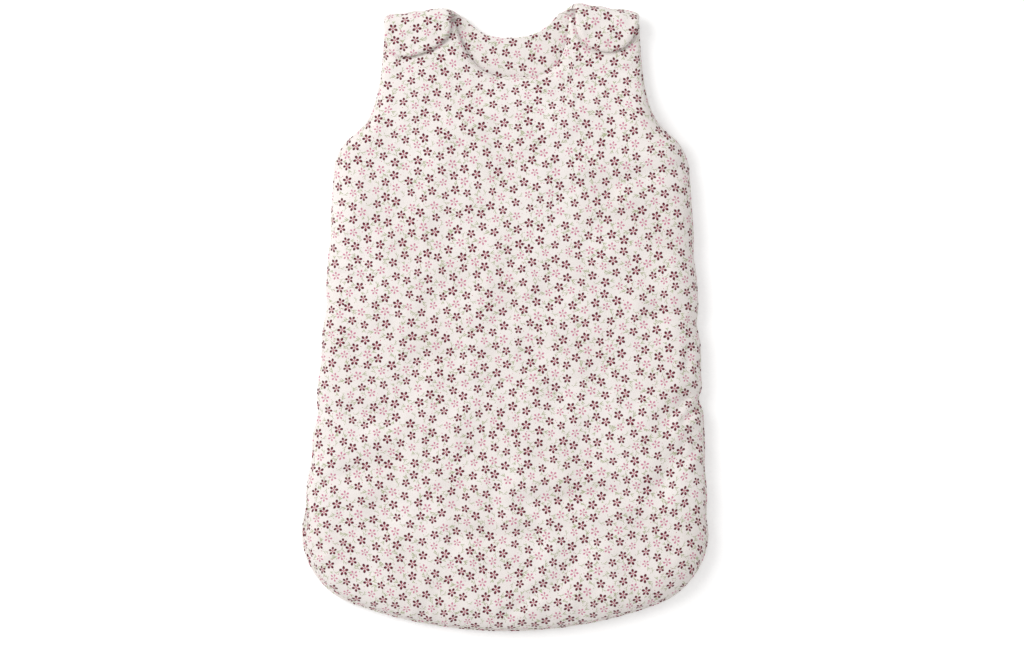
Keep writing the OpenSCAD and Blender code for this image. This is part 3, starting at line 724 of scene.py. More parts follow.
@dataclass(frozen=True)
class CoverSettling:
    """A short cloth simulation that settles a panel's cover over its padding.

    The cover is cut a little larger than its padding and gathered at the seams, so it crumples as
    sewn cloth does.

    Args:
        fullness: how much larger the cover is than its padding.
        seam_fullness: the same beside the seams.
        gathered: how far in from the seams the gathers reach.
        pressure: push of the padding.
        stiffness: resistance to stretch.
        bending: resistance to bending.
        hold: grip of the padding on the cover.
        frames: length of the simulation.
        most: the farthest that a point may move.
    """

    fullness: float = 0.006
    seam_fullness: float = 0.022
    gathered: float = 0.024
    pressure: float = 1.0
    stiffness: float = 15.0
    bending: float = 60.0
    hold: float = 0.9
    frames: int = 20
    most: float = 0.0016

    def moves(self, surface: Array, away: Array) -> Array:
        """Returns how each point of a surface moves.

        Args:
            surface: grid of points, with an odd number of rows and of columns.
            away: distance from each point to the nearest seam.

        Returns:
            The moves, none of them at the surface's edge.
        """
        start = surface[::2, ::2]
        cover = self._cover(start, bump(away[::2, ::2], self.gathered))
        for frame in range(1, self.frames + 1):
            bpy.context.scene.frame_set(frame)
        settled = cover.evaluated_get(bpy.context.evaluated_depsgraph_get()).to_mesh()
        places = np.empty(start.size)
        settled.vertices.foreach_get("co", places)
        moved = places.reshape(start.shape) - start
        bpy.context.scene.frame_set(1)
        mesh = cover.data
        bpy.data.objects.remove(cover)
        bpy.data.meshes.remove(mesh)
        length = np.linalg.norm(moved, axis=-1, keepdims=True)
        return finer(moved * np.minimum(1, self.most / np.maximum(length, 1e-9)))

    def _cover(self, grid: Array, gathers: Array) -> bpy.types.Object:
        """Makes the cover with its Cloth modifier.

        Args:
            grid: grid of points.
            gathers: share of the fullness beside the seams at each point.

        Returns:
            The cover.
        """
        rows, columns = grid.shape[:2]
        mesh = bpy.data.meshes.new("cover")
        mesh.from_pydata(grid.reshape(-1, 3).tolist(), [], grid_cells(rows, columns).tolist())
        cover = new_object("cover", mesh)
        inner = np.arange(rows * columns).reshape(rows, columns)[1:-1, 1:-1].ravel().tolist()
        edge = sorted(set(range(rows * columns)) - set(inner))
        held = cover.vertex_groups.new(name="held")
        held.add(inner, 0.5, "REPLACE")
        held.add(edge, 1.0, "REPLACE")
        gathered = cover.vertex_groups.new(name="gathered")
        for index, share in enumerate(gathers.ravel().tolist()):
            gathered.add([index], share, "REPLACE")
        cloth = cover.modifiers.new("cloth", "CLOTH")
        cloth.point_cache.frame_start = 1
        cloth.point_cache.frame_end = self.frames
        cloth.collision_settings.use_collision = False
        settings = cloth.settings
        settings.quality = 5
        settings.mass = 0.3
        settings.tension_stiffness = settings.compression_stiffness = self.stiffness
        settings.shear_stiffness = self.stiffness / 3
        settings.bending_stiffness = self.bending
        settings.vertex_group_mass = held.name
        settings.pin_stiffness = self.hold
        settings.vertex_group_shrink = gathered.name
        settings.shrink_min = -self.fullness
        settings.shrink_max = -self.seam_fullness
        settings.use_pressure = True
        settings.uniform_pressure_force = self.pressure
        settings.effector_weights.gravity = 0
        return cover


def lay(points: Array) -> Array:
    """Moves points to the slightly uneven way in which the bag was laid down.

    The foot lies a little to the left of the neck, the left shoulder a little lower than the right
    one, and the right shoulder's inner end a little higher than its outer end.

    Args:
        points: points of the bag, of any shape that ends in 2 or 3.

    Returns:
        The moved points.
    """
    moved = points.copy()
    x, y = points[..., 0], points[..., 1]
    moved[..., 0] -= 0.006 * smooth((0.03 - y) / 0.30)
    places = (-0.150, -0.066, 0.0, 0.066, 0.145)
    lifts = (-0.0030, -0.0034, 0.0, 0.0030, 0.0004)
    moved[..., 1] += np.interp(x, places, lifts) * smooth((y - 0.26) / 0.07)
    return moved


def drawn_back(
    surface: Array, node: str, step: float, gap: float = 0.0003, slope: float = 0.0026
) -> Array:
    """Draws a surface back round a part of a press stud, so that the part shows.

    Args:
        surface: grid of points.
        node: the part's node.
        step: how far the cloth meets the part above the part's lowest level.
        gap: distance that is kept round the part.
        slope: width of the dimple's slope.

    Returns:
        The changed surface.
    """
    low, high = (np.array(corner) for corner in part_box(node))
    centre, radius = (low + high) / 2, (high[0] - low[0]) / 2
    away = np.hypot(surface[..., 0] - centre[0], surface[..., 1] - centre[1])
    share = 1 - smooth((away - radius - gap) / slope)
    moved = surface.copy()
    moved[..., 2] = mix(surface[..., 2], low[2] + step, share)
    return moved


def mirrored(half: Array) -> Array:
    """Mirrors the right half's grid to the left.

    Args:
        half: grid of the right half, columns from the middle.

    Returns:
        The left half's grid, columns from the side up to the one beside the middle.
    """
    flipped = half[:, :0:-1].copy()
    flipped[..., 0] *= -1
    return flipped


def unrolled(surface: Array) -> Array:
    """Unrolls a surface, measured out from its middle.

    Args:
        surface: grid of points.

    Returns:
        Where each point lies on the flat cloth.
    """
    middle_row, middle_column = surface.shape[0] // 2, surface.shape[1] // 2
    steps_x = np.diff(surface, axis=1)
    run_x = np.sign(steps_x[..., 0]) * np.hypot(steps_x[..., 0], steps_x[..., 2])
    u = np.concatenate([np.zeros((len(surface), 1)), np.cumsum(run_x, axis=1)], 1)
    u += (surface[:, middle_column, 0] - u[:, middle_column])[:, None]
    steps_y = np.diff(surface, axis=0)
    run_y = np.sign(steps_y[..., 1]) * np.hypot(steps_y[..., 1], steps_y[..., 2])
    v = np.concatenate([np.zeros((1, surface.shape[1])), np.cumsum(run_y, axis=0)], 0)
    v += (surface[middle_row, :, 1] - v[middle_row])[None]
    return np.stack([u, v], -1)


# --- Shader node groups ---------------------------------------------------------------------------


class Nodes:
    """Adds nodes to a tree and wires them up."""

    def __init__(self, tree: bpy.types.NodeTree) -> None:
        """Keeps the tree.

        Args:
            tree: the tree that the nodes go into.
        """
        self.tree = tree

    def add(self, kind: str, inputs: dict | None = None, **settings: object) -> bpy.types.Node:
        """Adds a node.

        Args:
            kind: type of the node.
            inputs: a socket to link from, or a value, for each named or numbered input.
            settings: the node's own settings.

        Returns:
            The node.
        """
        node = self.tree.nodes.new(kind)
        for key, value in settings.items():
            setattr(node, key, value)
        for key, value in (inputs or {}).items():
            if isinstance(value, bpy.types.NodeSocket):
                self.link(node, key, value)
            else:
                node.inputs[key].default_value = value
        return node

    def link(self, node: bpy.types.Node, key: str, value: bpy.types.NodeSocket) -> None:
        """Links a socket to one of a node's inputs."""
        self.tree.links.new(value, node.inputs[key])

    def maths(self, operation: str, *values: object) -> bpy.types.NodeSocket:
        """Adds a Math node and returns its result."""
        node = self.add("ShaderNodeMath", dict(enumerate(values)), operation=operation)
        return node.outputs[0]

    def between(self, value: object, low: float, high: float) -> bpy.types.NodeSocket:
        """Adds a soft step.

        Args:
            value: what is measured.
            low: value where the step is 0.
            high: value where it is 1, which may be the smaller one.

        Returns:
            The step.
        """
        node = self.add(
            "ShaderNodeMapRange",
            {"Value": value, "From Min": low, "From Max": high},
            interpolation_type="SMOOTHSTEP",
        )
        return node.outputs["Result"]

    def blend(self, share: object, a: object, b: object) -> bpy.types.NodeSocket:
        """Returns colour a where share is 0 and b where it is 1."""
        node = self.add("ShaderNodeMix", {0: share, 6: a, 7: b}, data_type="RGBA")
        return node.outputs[2]

    def noise(
        self, vector: object, scale: float, detail: float, dimensions: str = "3D", **more: float
    ) -> bpy.types.NodeSocket:
        """Adds a Noise Texture.

        Args:
            vector: the place.
            scale: how many lumps lie in a metre.
            detail: how many finer layers are added.
            dimensions: "2D" or "3D".
            more: its other inputs, by name.

        Returns:
            Its value.
        """
        inputs = {"Vector": vector, "Scale": scale, "Detail": detail, **more}
        node = self.add("ShaderNodeTexNoise", inputs, noise_dimensions=dimensions)
        return node.outputs[0]

    def finish(
        self, shader: bpy.types.Node, rough: tuple[object, float, float],
        relief: tuple[object, float, float],
    ) -> None:
        """Gives a shader its roughness and its relief.

        Args:
            shader: the material's own shader.
            rough: a share, and the roughness where it is 0 and where it is 1.
            relief: a height, its strength and its depth.
        """
        roughness = dict(zip(("Value", "To Min", "To Max"), rough))
        self.link(shader, "Roughness", self.add("ShaderNodeMapRange", roughness).outputs[0])
        heights = dict(zip(("Height", "Strength", "Distance"), relief))
        self.link(shader, "Normal", self.add("ShaderNodeBump", heights).outputs[0])


def new_group(
    name: str, inputs: dict[str, tuple[str, object]], outputs: dict[str, str]
) -> tuple[bpy.types.NodeTree, Nodes, bpy.types.Node, bpy.types.Node]:
    """Makes an empty shader node group.

    Args:
        name: name of the group.
        inputs: for each input its kind of socket and its default.
        outputs: for each output its kind of socket.

    Returns:
        The group, a helper for its nodes, and its input and output nodes.
    """
    group = bpy.data.node_groups.new(name, "ShaderNodeTree")
    for key, (kind, default) in inputs.items():
        socket = group.interface.new_socket(key, in_out="INPUT", socket_type=kind)
        if default is not None:
            socket.default_value = default
    for key, kind in outputs.items():
        group.interface.new_socket(key, in_out="OUTPUT", socket_type=kind)
    nodes = Nodes(group)
    return group, nodes, nodes.add("NodeGroupInput"), nodes.add("NodeGroupOutput")


def new_material(name: str) -> tuple[bpy.types.Material, Nodes, bpy.types.Node]:
    """Makes a material.

    Args:
        name: its name.

    Returns:
        The material, a helper for its nodes, and its shader.
    """
    material = bpy.data.materials.new(name)
    material.use_nodes = True
    return material, Nodes(material.node_tree), material.node_tree.nodes["Principled BSDF"]


FLOAT, VECTOR, COLOUR = "NodeSocketFloat", "NodeSocketVector", "NodeSocketColor"


@dataclass(frozen=True)
class Dab:
    """One soft-edged ellipse of ink: its centre, half its length and width, and its direction."""

    at: Point
    length: float
    width: float
    turn: float = 0.0


@dataclass(frozen=True)
class FlowerSizes:
    """The print's small motifs. x runs from a flower's centre along its stem or its petal.

    Args:
        petals: how many petals a flower has.
        petal: a dark flower's petal.
        small_petal: a pink flower's petal.
        stroke: the line from the heart out along a petal.
        heart: radius of the heart.
        spread: smallest and largest size of a motif, as shares.
        spacing: distance from flower to flower.
        looseness: how far the flowers stray from an even layout.
        sprig_ink: strength of a sprig's ink.
        leaf_ink: strength of a flower's leaves.
        dark_stroke_ink: strength of a dark flower's strokes.
        pale_stroke_ink: strength of a pink flower's strokes.
        bud: the dot beside a flower.
        leaves: a flower's leaves.
        sprig: the dabs that make up a sprig.
    """

    petals: int = 5
    petal: Dab = Dab((0.00330, 0), 0.00178, 0.00136)
    small_petal: Dab = Dab((0.00325, 0), 0.00130, 0.00104)
    stroke: Dab = Dab((0.00160, 0), 0.00165, 0.00042)
    heart: float = 0.00060
    spread: Point = (0.90, 1.10)
    spacing: float = 0.0150
    looseness: float = 0.28
    sprig_ink: float = 0.6
    leaf_ink: float = 0.8
    dark_stroke_ink: float = 0.85
    pale_stroke_ink: float = 0.40
    bud: Dab = Dab((-0.0050, -0.0044), 0.0006, 0.0005)
    leaves: tuple[Dab, ...] = (
        Dab((0.0068, 0.0003), 0.0030, 0.00030, 0.10),
        Dab((0.0074, 0.0015), 0.0024, 0.00036, 0.55),
        Dab((0.0078, -0.0010), 0.0021, 0.00036, -0.42),
    )
    sprig: tuple[Dab, ...] = (
        Dab((0.0, 0.0), 0.0042, 0.00030, 0.12),
        Dab((0.0016, 0.0010), 0.0024, 0.00036, 0.62),
        Dab((-0.0002, -0.0010), 0.0023, 0.00036, -0.50),
        Dab((-0.0036, 0.0016), 0.0008, 0.00050, 2.2),
    )


class PrintGroups:
    """Node groups that draw a scattered print of small flowers and sprigs."""

    def __init__(self, sizes: FlowerSizes) -> None:
        """Builds the groups.

        Args:
            sizes: sizes of the motifs.
        """
        self.sizes = sizes
        self.flower = self._flower()
        self.sprig = self._sprig()
        self.scatter = self._scatter()

    @staticmethod
    def _dab(n: Nodes, x: object, y: object, dab: Dab) -> bpy.types.NodeSocket:
        """Adds a soft mask of a dab of ink.

        Args:
            n: helper for the tree.
            x: place along the motif.
            y: place across it.
            dab: the dab.

        Returns:
            The mask.
        """
        cos, sin = math.cos(dab.turn), math.sin(dab.turn)
        dx = n.maths("SUBTRACT", x, dab.at[0])
        dy = n.maths("SUBTRACT", y, dab.at[1])
        along = n.maths("MULTIPLY_ADD", dy, sin / dab.length, n.maths("MULTIPLY", dx, cos / dab.length))
        across = n.maths("MULTIPLY_ADD", dy, cos / dab.width, n.maths("MULTIPLY", dx, -sin / dab.width))
        reach = n.maths("MULTIPLY_ADD", along, along, n.maths("MULTIPLY", across, across))
        return n.between(n.maths("SQRT", reach), 1.18, 0.82)

    def _dabs(self, n: Nodes, x: object, y: object, dabs: tuple[Dab, ...]) -> bpy.types.NodeSocket:
        """Adds a soft mask of several dabs.

        Args:
            n: helper for the tree.
            x: place along the motif.
            y: place across it.
            dabs: the dabs.

        Returns:
            The mask.
        """
        masks = [self._dab(n, x, y, dab) for dab in dabs]
        whole = masks[0]
        for mask in masks[1:]:
            whole = n.maths("MAXIMUM", whole, mask)
        return whole

    def _turned(
        self, n: Nodes, given: bpy.types.Node
    ) -> tuple[bpy.types.NodeSocket, bpy.types.NodeSocket]:
        """Turns and scales a motif by its draw.

        Args:
            n: helper for the tree.
            given: the group's inputs.

        Returns:
            The place along and across the motif.
        """
        draw = n.add("ShaderNodeSeparateColor", {0: given.outputs["Draw"]})
        spin = n.maths("MULTIPLY", draw.outputs[0], 2 * math.pi)
        smallest, largest = self.sizes.spread
        shrink = n.maths("MULTIPLY_ADD", draw.outputs[1], 1 / smallest - 1 / largest, 1 / largest)
        turned = n.add(
            "ShaderNodeVectorRotate",
            {"Vector": given.outputs["Offset"], "Angle": spin},
            rotation_type="Z_AXIS",
        )
        place = n.add("ShaderNodeSeparateXYZ", {0: turned.outputs[0]})
        return tuple(n.maths("MULTIPLY", place.outputs[k], shrink) for k in (0, 1))

    def _flower(self) -> bpy.types.NodeTree:
        """Builds the group that draws one flower, from the offset to its centre and a draw.

        Returns:
            The group.
        """
        s = self.sizes
        group, n, given, out = new_group(
            "Small flower",
            {"Offset": (VECTOR, None), "Draw": (COLOUR, (0.5, 0.5, 0.5, 1))},
            {"Petals": FLOAT, "Small petals": FLOAT, "Strokes": FLOAT, "Green": FLOAT},
        )
        x, y = self._turned(n, given)
        reach = n.maths("SQRT", n.maths("MULTIPLY_ADD", x, x, n.maths("MULTIPLY", y, y)))
        slice_angle = 2 * math.pi / s.petals
        folded = n.maths("FLOORED_MODULO", n.maths("ARCTAN2", y, x), slice_angle)
        folded = n.maths("SUBTRACT", folded, slice_angle / 2)
        px = n.maths("MULTIPLY", reach, n.maths("COSINE", folded))
        py = n.maths("MULTIPLY", reach, n.maths("SINE", folded))
        heart = n.between(reach, s.heart * 1.3, s.heart * 0.7)
        strokes = n.maths("MAXIMUM", self._dab(n, px, py, s.stroke), heart)
        n.link(out, "Petals", self._dab(n, px, py, s.petal))
        n.link(out, "Small petals", self._dab(n, px, py, s.small_petal))
        n.link(out, "Strokes", n.maths("MAXIMUM", strokes, self._dab(n, x, y, s.bud)))
        n.link(out, "Green", self._dabs(n, x, y, s.leaves))
        return group

    def _sprig(self) -> bpy.types.NodeTree:
        """Builds the group that draws one sprig.

        Returns:
            The group.
        """
        group, n, given, out = new_group(
            "Sprig",
            {"Offset": (VECTOR, None), "Draw": (COLOUR, (0.5, 0.5, 0.5, 1))},
            {"Green": FLOAT},
        )
        x, y = self._turned(n, given)
        n.link(out, "Green", self._dabs(n, x, y, self.sizes.sprig))
        return group

    @staticmethod
    def _linear(n: Nodes, vector: object, to_x: Point, to_y: Point) -> bpy.types.NodeSocket:
        """Makes a plane vector anew from shares of its own x and y.

        Args:
            n: helper for the tree.
            vector: the vector.
            to_x: shares that the new x takes.
            to_y: shares that the new y takes.

        Returns:
            The new vector.
        """
        x = n.add("ShaderNodeVectorMath", {0: vector, 1: (*to_x, 0)}, operation="DOT_PRODUCT")
        y = n.add("ShaderNodeVectorMath", {0: vector, 1: (*to_y, 0)}, operation="DOT_PRODUCT")
        both = n.add("ShaderNodeCombineXYZ", {0: x.outputs["Value"], 1: y.outputs["Value"]})
        return both.outputs[0]

    def _motif(
        self, n: Nodes, skewed: object, per_metre: object, feature: str, group: bpy.types.NodeTree
    ) -> tuple[bpy.types.Node, bpy.types.Node]:
        """Adds a motif in each cell of the skewed layout.

        Args:
            n: helper for the tree.
            skewed: place on the cloth in the skewed layout.
            per_metre: cells in a metre.
            feature: which of the nearest cells draws its motif.
            group: the group that draws it.

        Returns:
            The motif's node and the cells' node.
        """
        cells = n.add(
            "ShaderNodeTexVoronoi",
            {"Vector": skewed, "Scale": per_metre, "Randomness": self.sizes.looseness},
            voronoi_dimensions="2D",
            feature=feature,
        )
        offset = n.add(
            "ShaderNodeVectorMath", {0: skewed, 1: cells.outputs["Position"]}, operation="SUBTRACT"
        )
        motif = n.add("ShaderNodeGroup", node_tree=group)
        upright = self._linear(n, offset.outputs[0], (1, 0.5), (0, math.sqrt(3) / 2))
        n.link(motif, "Offset", upright)
        n.link(motif, "Draw", cells.outputs["Color"])
        return motif, cells

    def _every_third(self, n: Nodes, cells: bpy.types.Node, per_metre: object) -> object:
        """Picks every third cell, so that no two of them touch.

        Args:
            n: helper for the tree.
            cells: the node that finds the cells.
            per_metre: cells in a metre.

        Returns:
            1 in those cells and 0 in the others.
        """
        place = n.add("ShaderNodeSeparateXYZ", {0: cells.outputs["Position"]})
        row, column = (
            n.maths("FLOOR", n.maths("MULTIPLY", place.outputs[k], per_metre)) for k in (1, 0)
        )
        count = n.maths("FLOORED_MODULO", n.maths("SUBTRACT", column, row), 3.0)
        return n.maths("LESS_THAN", count, 0.5)

    def _scatter(self) -> bpy.types.NodeTree:
        """Builds the group that scatters the motifs over the cloth and colours them.

        Returns:
            The group.
        """
        group, n, given, out = new_group(
            "Ditsy print",
            {
                "Cloth": (VECTOR, None), "Spacing": (FLOAT, self.sizes.spacing),
                **{ink: (COLOUR, None) for ink in ("Ground", "Dark", "Heart", "Pink", "Leaf")},
            },
            {"Colour": COLOUR, "Ink": FLOAT},
        )
        per_metre = n.maths("DIVIDE", 1.0, given.outputs["Spacing"])
        # the cells are skewed, so that the flowers stand in a loose triangular layout
        slope = 1 / math.sqrt(3)
        skewed = self._linear(n, given.outputs["Cloth"], (1, -slope), (0, 2 * slope))
        # and the sprigs stand between three flowers
        third = n.maths("DIVIDE", given.outputs["Spacing"], 3.0)
        gap = n.add("ShaderNodeCombineXYZ", {0: third, 1: third})
        between = n.add("ShaderNodeVectorMath", {0: skewed, 1: gap.outputs[0]}, operation="ADD")
        sprig, _ = self._motif(n, between.outputs[0], per_metre, "F1", self.sprig)
        ink = n.maths("MULTIPLY", sprig.outputs["Green"], self.sizes.sprig_ink)
        colour = n.blend(ink, given.outputs["Ground"], given.outputs["Leaf"])
        paler = self.sizes.pale_stroke_ink - self.sizes.dark_stroke_ink
        for feature in ("F2", "F1"):
            flower, cells = self._motif(n, skewed, per_metre, feature, self.flower)
            pale = self._every_third(n, cells, per_metre)
            petal = n.blend(pale, given.outputs["Dark"], given.outputs["Pink"])
            petals = n.add(
                "ShaderNodeMix",
                {0: pale, 2: flower.outputs["Petals"], 3: flower.outputs["Small petals"]},
            )
            green = n.maths("MULTIPLY", flower.outputs["Green"], self.sizes.leaf_ink)
            strong = n.maths("MULTIPLY_ADD", pale, paler, self.sizes.dark_stroke_ink)
            strokes = n.maths("MULTIPLY", flower.outputs["Strokes"], strong)
            colour = n.blend(green, colour, given.outputs["Leaf"])
            colour = n.blend(petals.outputs[0], colour, petal)
            colour = n.blend(strokes, colour, given.outputs["Heart"])
            here = n.maths("MAXIMUM", n.maths("MAXIMUM", petals.outputs[0], strokes), green)
            ink = n.maths("MAXIMUM", ink, here)
        n.link(out, "Colour", colour)
        n.link(out, "Ink", ink)
        return group


class WeaveGroup:
    """Node group of a plain weave with slubs, soft crumples and a broad mottling of painted shade."""

    def __init__(self) -> None:
        """Builds the group."""
        group, n, given, out = new_group(
            "Plain weave",
            {"Cloth": (VECTOR, None), "Thread": (FLOAT, 0.00042), "Crumple": (FLOAT, 1.0)},
            {"Height": FLOAT, "Shade": FLOAT},
        )
        place = n.add("ShaderNodeSeparateXYZ", {0: given.outputs["Cloth"]})
        turns = n.maths("DIVIDE", math.pi, given.outputs["Thread"])
        warp = n.maths("ABSOLUTE", n.maths("SINE", n.maths("MULTIPLY", place.outputs[0], turns)))
        weft = n.maths("ABSOLUTE", n.maths("SINE", n.maths("MULTIPLY", place.outputs[1], turns)))
        weave = n.maths("MULTIPLY", n.maths("ADD", warp, weft), 0.5)
        cloth = given.outputs["Cloth"]
        slubs = n.noise(cloth, 900.0, 2.0, "2D")
        crumple = n.noise(cloth, 55.0, 3.0, "2D", Roughness=0.55, Distortion=0.6)
        soft = n.maths("MULTIPLY", crumple, n.maths("MULTIPLY", given.outputs["Crumple"], 6.0))
        height = n.maths("ADD", n.maths("MULTIPLY", weave, 0.5), n.maths("ADD", slubs, soft))
        # painted shade: a broad, soft mottling that darkens the cloth; the slubs beside it are the
        # yarn's own tone
        painted_shade_cloud = n.maths("MULTIPLY", n.noise(cloth, 14.0, 2.0, "2D"), 0.5)
        shade = n.maths("MULTIPLY_ADD", slubs, 0.9, painted_shade_cloud)
        n.link(out, "Height", height)
        n.link(out, "Shade", n.between(shade, 0.45, 0.95))
        self.tree = group


# --- Finishes -------------------------------------------------------------------------------------


def solid(colour: Colour) -> tuple[float, float, float, float]:
    """Returns a colour with full cover."""
    return (*colour, 1.0)


@dataclass(frozen=True)
class PrintedCotton:
    """Woven cotton with the ditsy print.

    Args:
        name: name of the material.
        ground: colour of the bare cloth.
        shaded: a darker copy of the ground, laid on by the slubs' own tone and by a broad mottling of
            painted shade.
        dark: petals of most flowers.
        heart: hearts and strokes.
        pink: petals of every third flower.
        leaf: leaves and sprigs.
        shift: how far the print is moved on the cloth.
        turn: how far it is turned.
        roughness: roughness of the bare cloth.
        ink_roughness: roughness of the ink.
        thread_depth: depth of the weave's relief.
    """

    name: str
    ground: Colour
    shaded: Colour
    dark: Colour = (0.092, 0.003, 0.013)
    heart: Colour = (0.46, 0.10, 0.15)
    pink: Colour = (0.60, 0.24, 0.34)
    leaf: Colour = (0.29, 0.34, 0.14)
    shift: Point = (0.0, 0.0)
    turn: float = 0.42
    roughness: float = 0.88
    ink_roughness: float = 0.80
    thread_depth: float = 0.00012

    def build(self, flowers: PrintGroups, weave: WeaveGroup) -> bpy.types.Material:
        """Makes the material.

        Args:
            flowers: the groups that draw the print.
            weave: the group that draws the weave.

        Returns:
            The material.
        """
        material, n, shader = new_material(self.name)
        place = n.add("ShaderNodeAttribute", attribute_name="cloth")
        moved = n.add(
            "ShaderNodeMapping",
            {"Vector": place.outputs["Vector"], "Location": (*self.shift, 0.0),
             "Rotation": (0.0, 0.0, self.turn)},
        )
        cloth = n.add("ShaderNodeGroup", {}, node_tree=weave.tree)
        n.link(cloth, "Cloth", place.outputs["Vector"])
        # the ground turns to its darker copy under the painted shade mottling and at the slubs
        ground = n.blend(cloth.outputs["Shade"], solid(self.ground), solid(self.shaded))
        flower = n.add("ShaderNodeGroup", {}, node_tree=flowers.scatter)
        n.link(flower, "Cloth", moved.outputs[0])
        n.link(flower, "Ground", ground)
        for ink in ("dark", "heart", "pink", "leaf"):
            flower.inputs[ink.title()].default_value = solid(getattr(self, ink))
        n.link(shader, "Base Color", flower.outputs["Colour"])
        roughness = (flower.outputs["Ink"], self.roughness, self.ink_roughness)
        n.finish(shader, roughness, (cloth.outputs["Height"], 0.35, self.thread_depth))
        shader.inputs["Specular IOR Level"].default_value = 0.2
        shader.inputs["Sheen Weight"].default_value = 0.12
        shader.inputs["Sheen Roughness"].default_value = 0.5
        return material


@dataclass(frozen=True)
class Trim:
    """A plain finish for the zip and the press studs.

    Args:
        name: name of the material.
        colour: its colour.
        worn: its colour where it is worn.
        metallic: 1 for metal and 0 for the rest.
        roughness: its middle roughness.
        grain_scale: how many grains lie in a metre.
        grain_depth: depth of the relief.
        ribbed: whether it has a twill's slanting ribs.
    """

    name: str
    colour: Colour
    worn: Colour
    metallic: float
    roughness: float
    grain_scale: float
    grain_depth: float
    ribbed: bool = False

    def build(self) -> bpy.types.Material:
        """Makes the material.

        Returns:
            The material.
        """
        material, n, shader = new_material(self.name)
        place = n.add("ShaderNodeTexCoord")
        grain = n.noise(place.outputs["Object"], self.grain_scale, 4.0)
        patchy = n.noise(place.outputs["Object"], self.grain_scale / 12, 2.0)
        edge = n.add("ShaderNodeNewGeometry")
        worn = n.between(edge.outputs["Pointiness"], 0.5, 0.56)
        rubbed = n.maths("MULTIPLY", n.between(patchy, 0.4, 0.7), 0.5)
        share = n.maths("MAXIMUM", worn, rubbed)
        n.link(shader, "Base Color", n.blend(share, solid(self.colour), solid(self.worn)))
        height = grain
        if self.ribbed:
            ribs = n.add(
                "ShaderNodeTexWave",
                {"Vector": place.outputs["Object"], "Scale": 900.0, "Distortion": 0.4},
                bands_direction="DIAGONAL",
            )
            height = n.maths("ADD", n.maths("MULTIPLY", height, 0.4), ribs.outputs["Fac"])
        roughness = (grain, self.roughness * 0.85, self.roughness * 1.2)
        n.finish(shader, roughness, (height, 0.4, self.grain_depth))
        shader.inputs["Metallic"].default_value = self.metallic
        return material


# --- The bag --------------------------------------------------------------------------------------


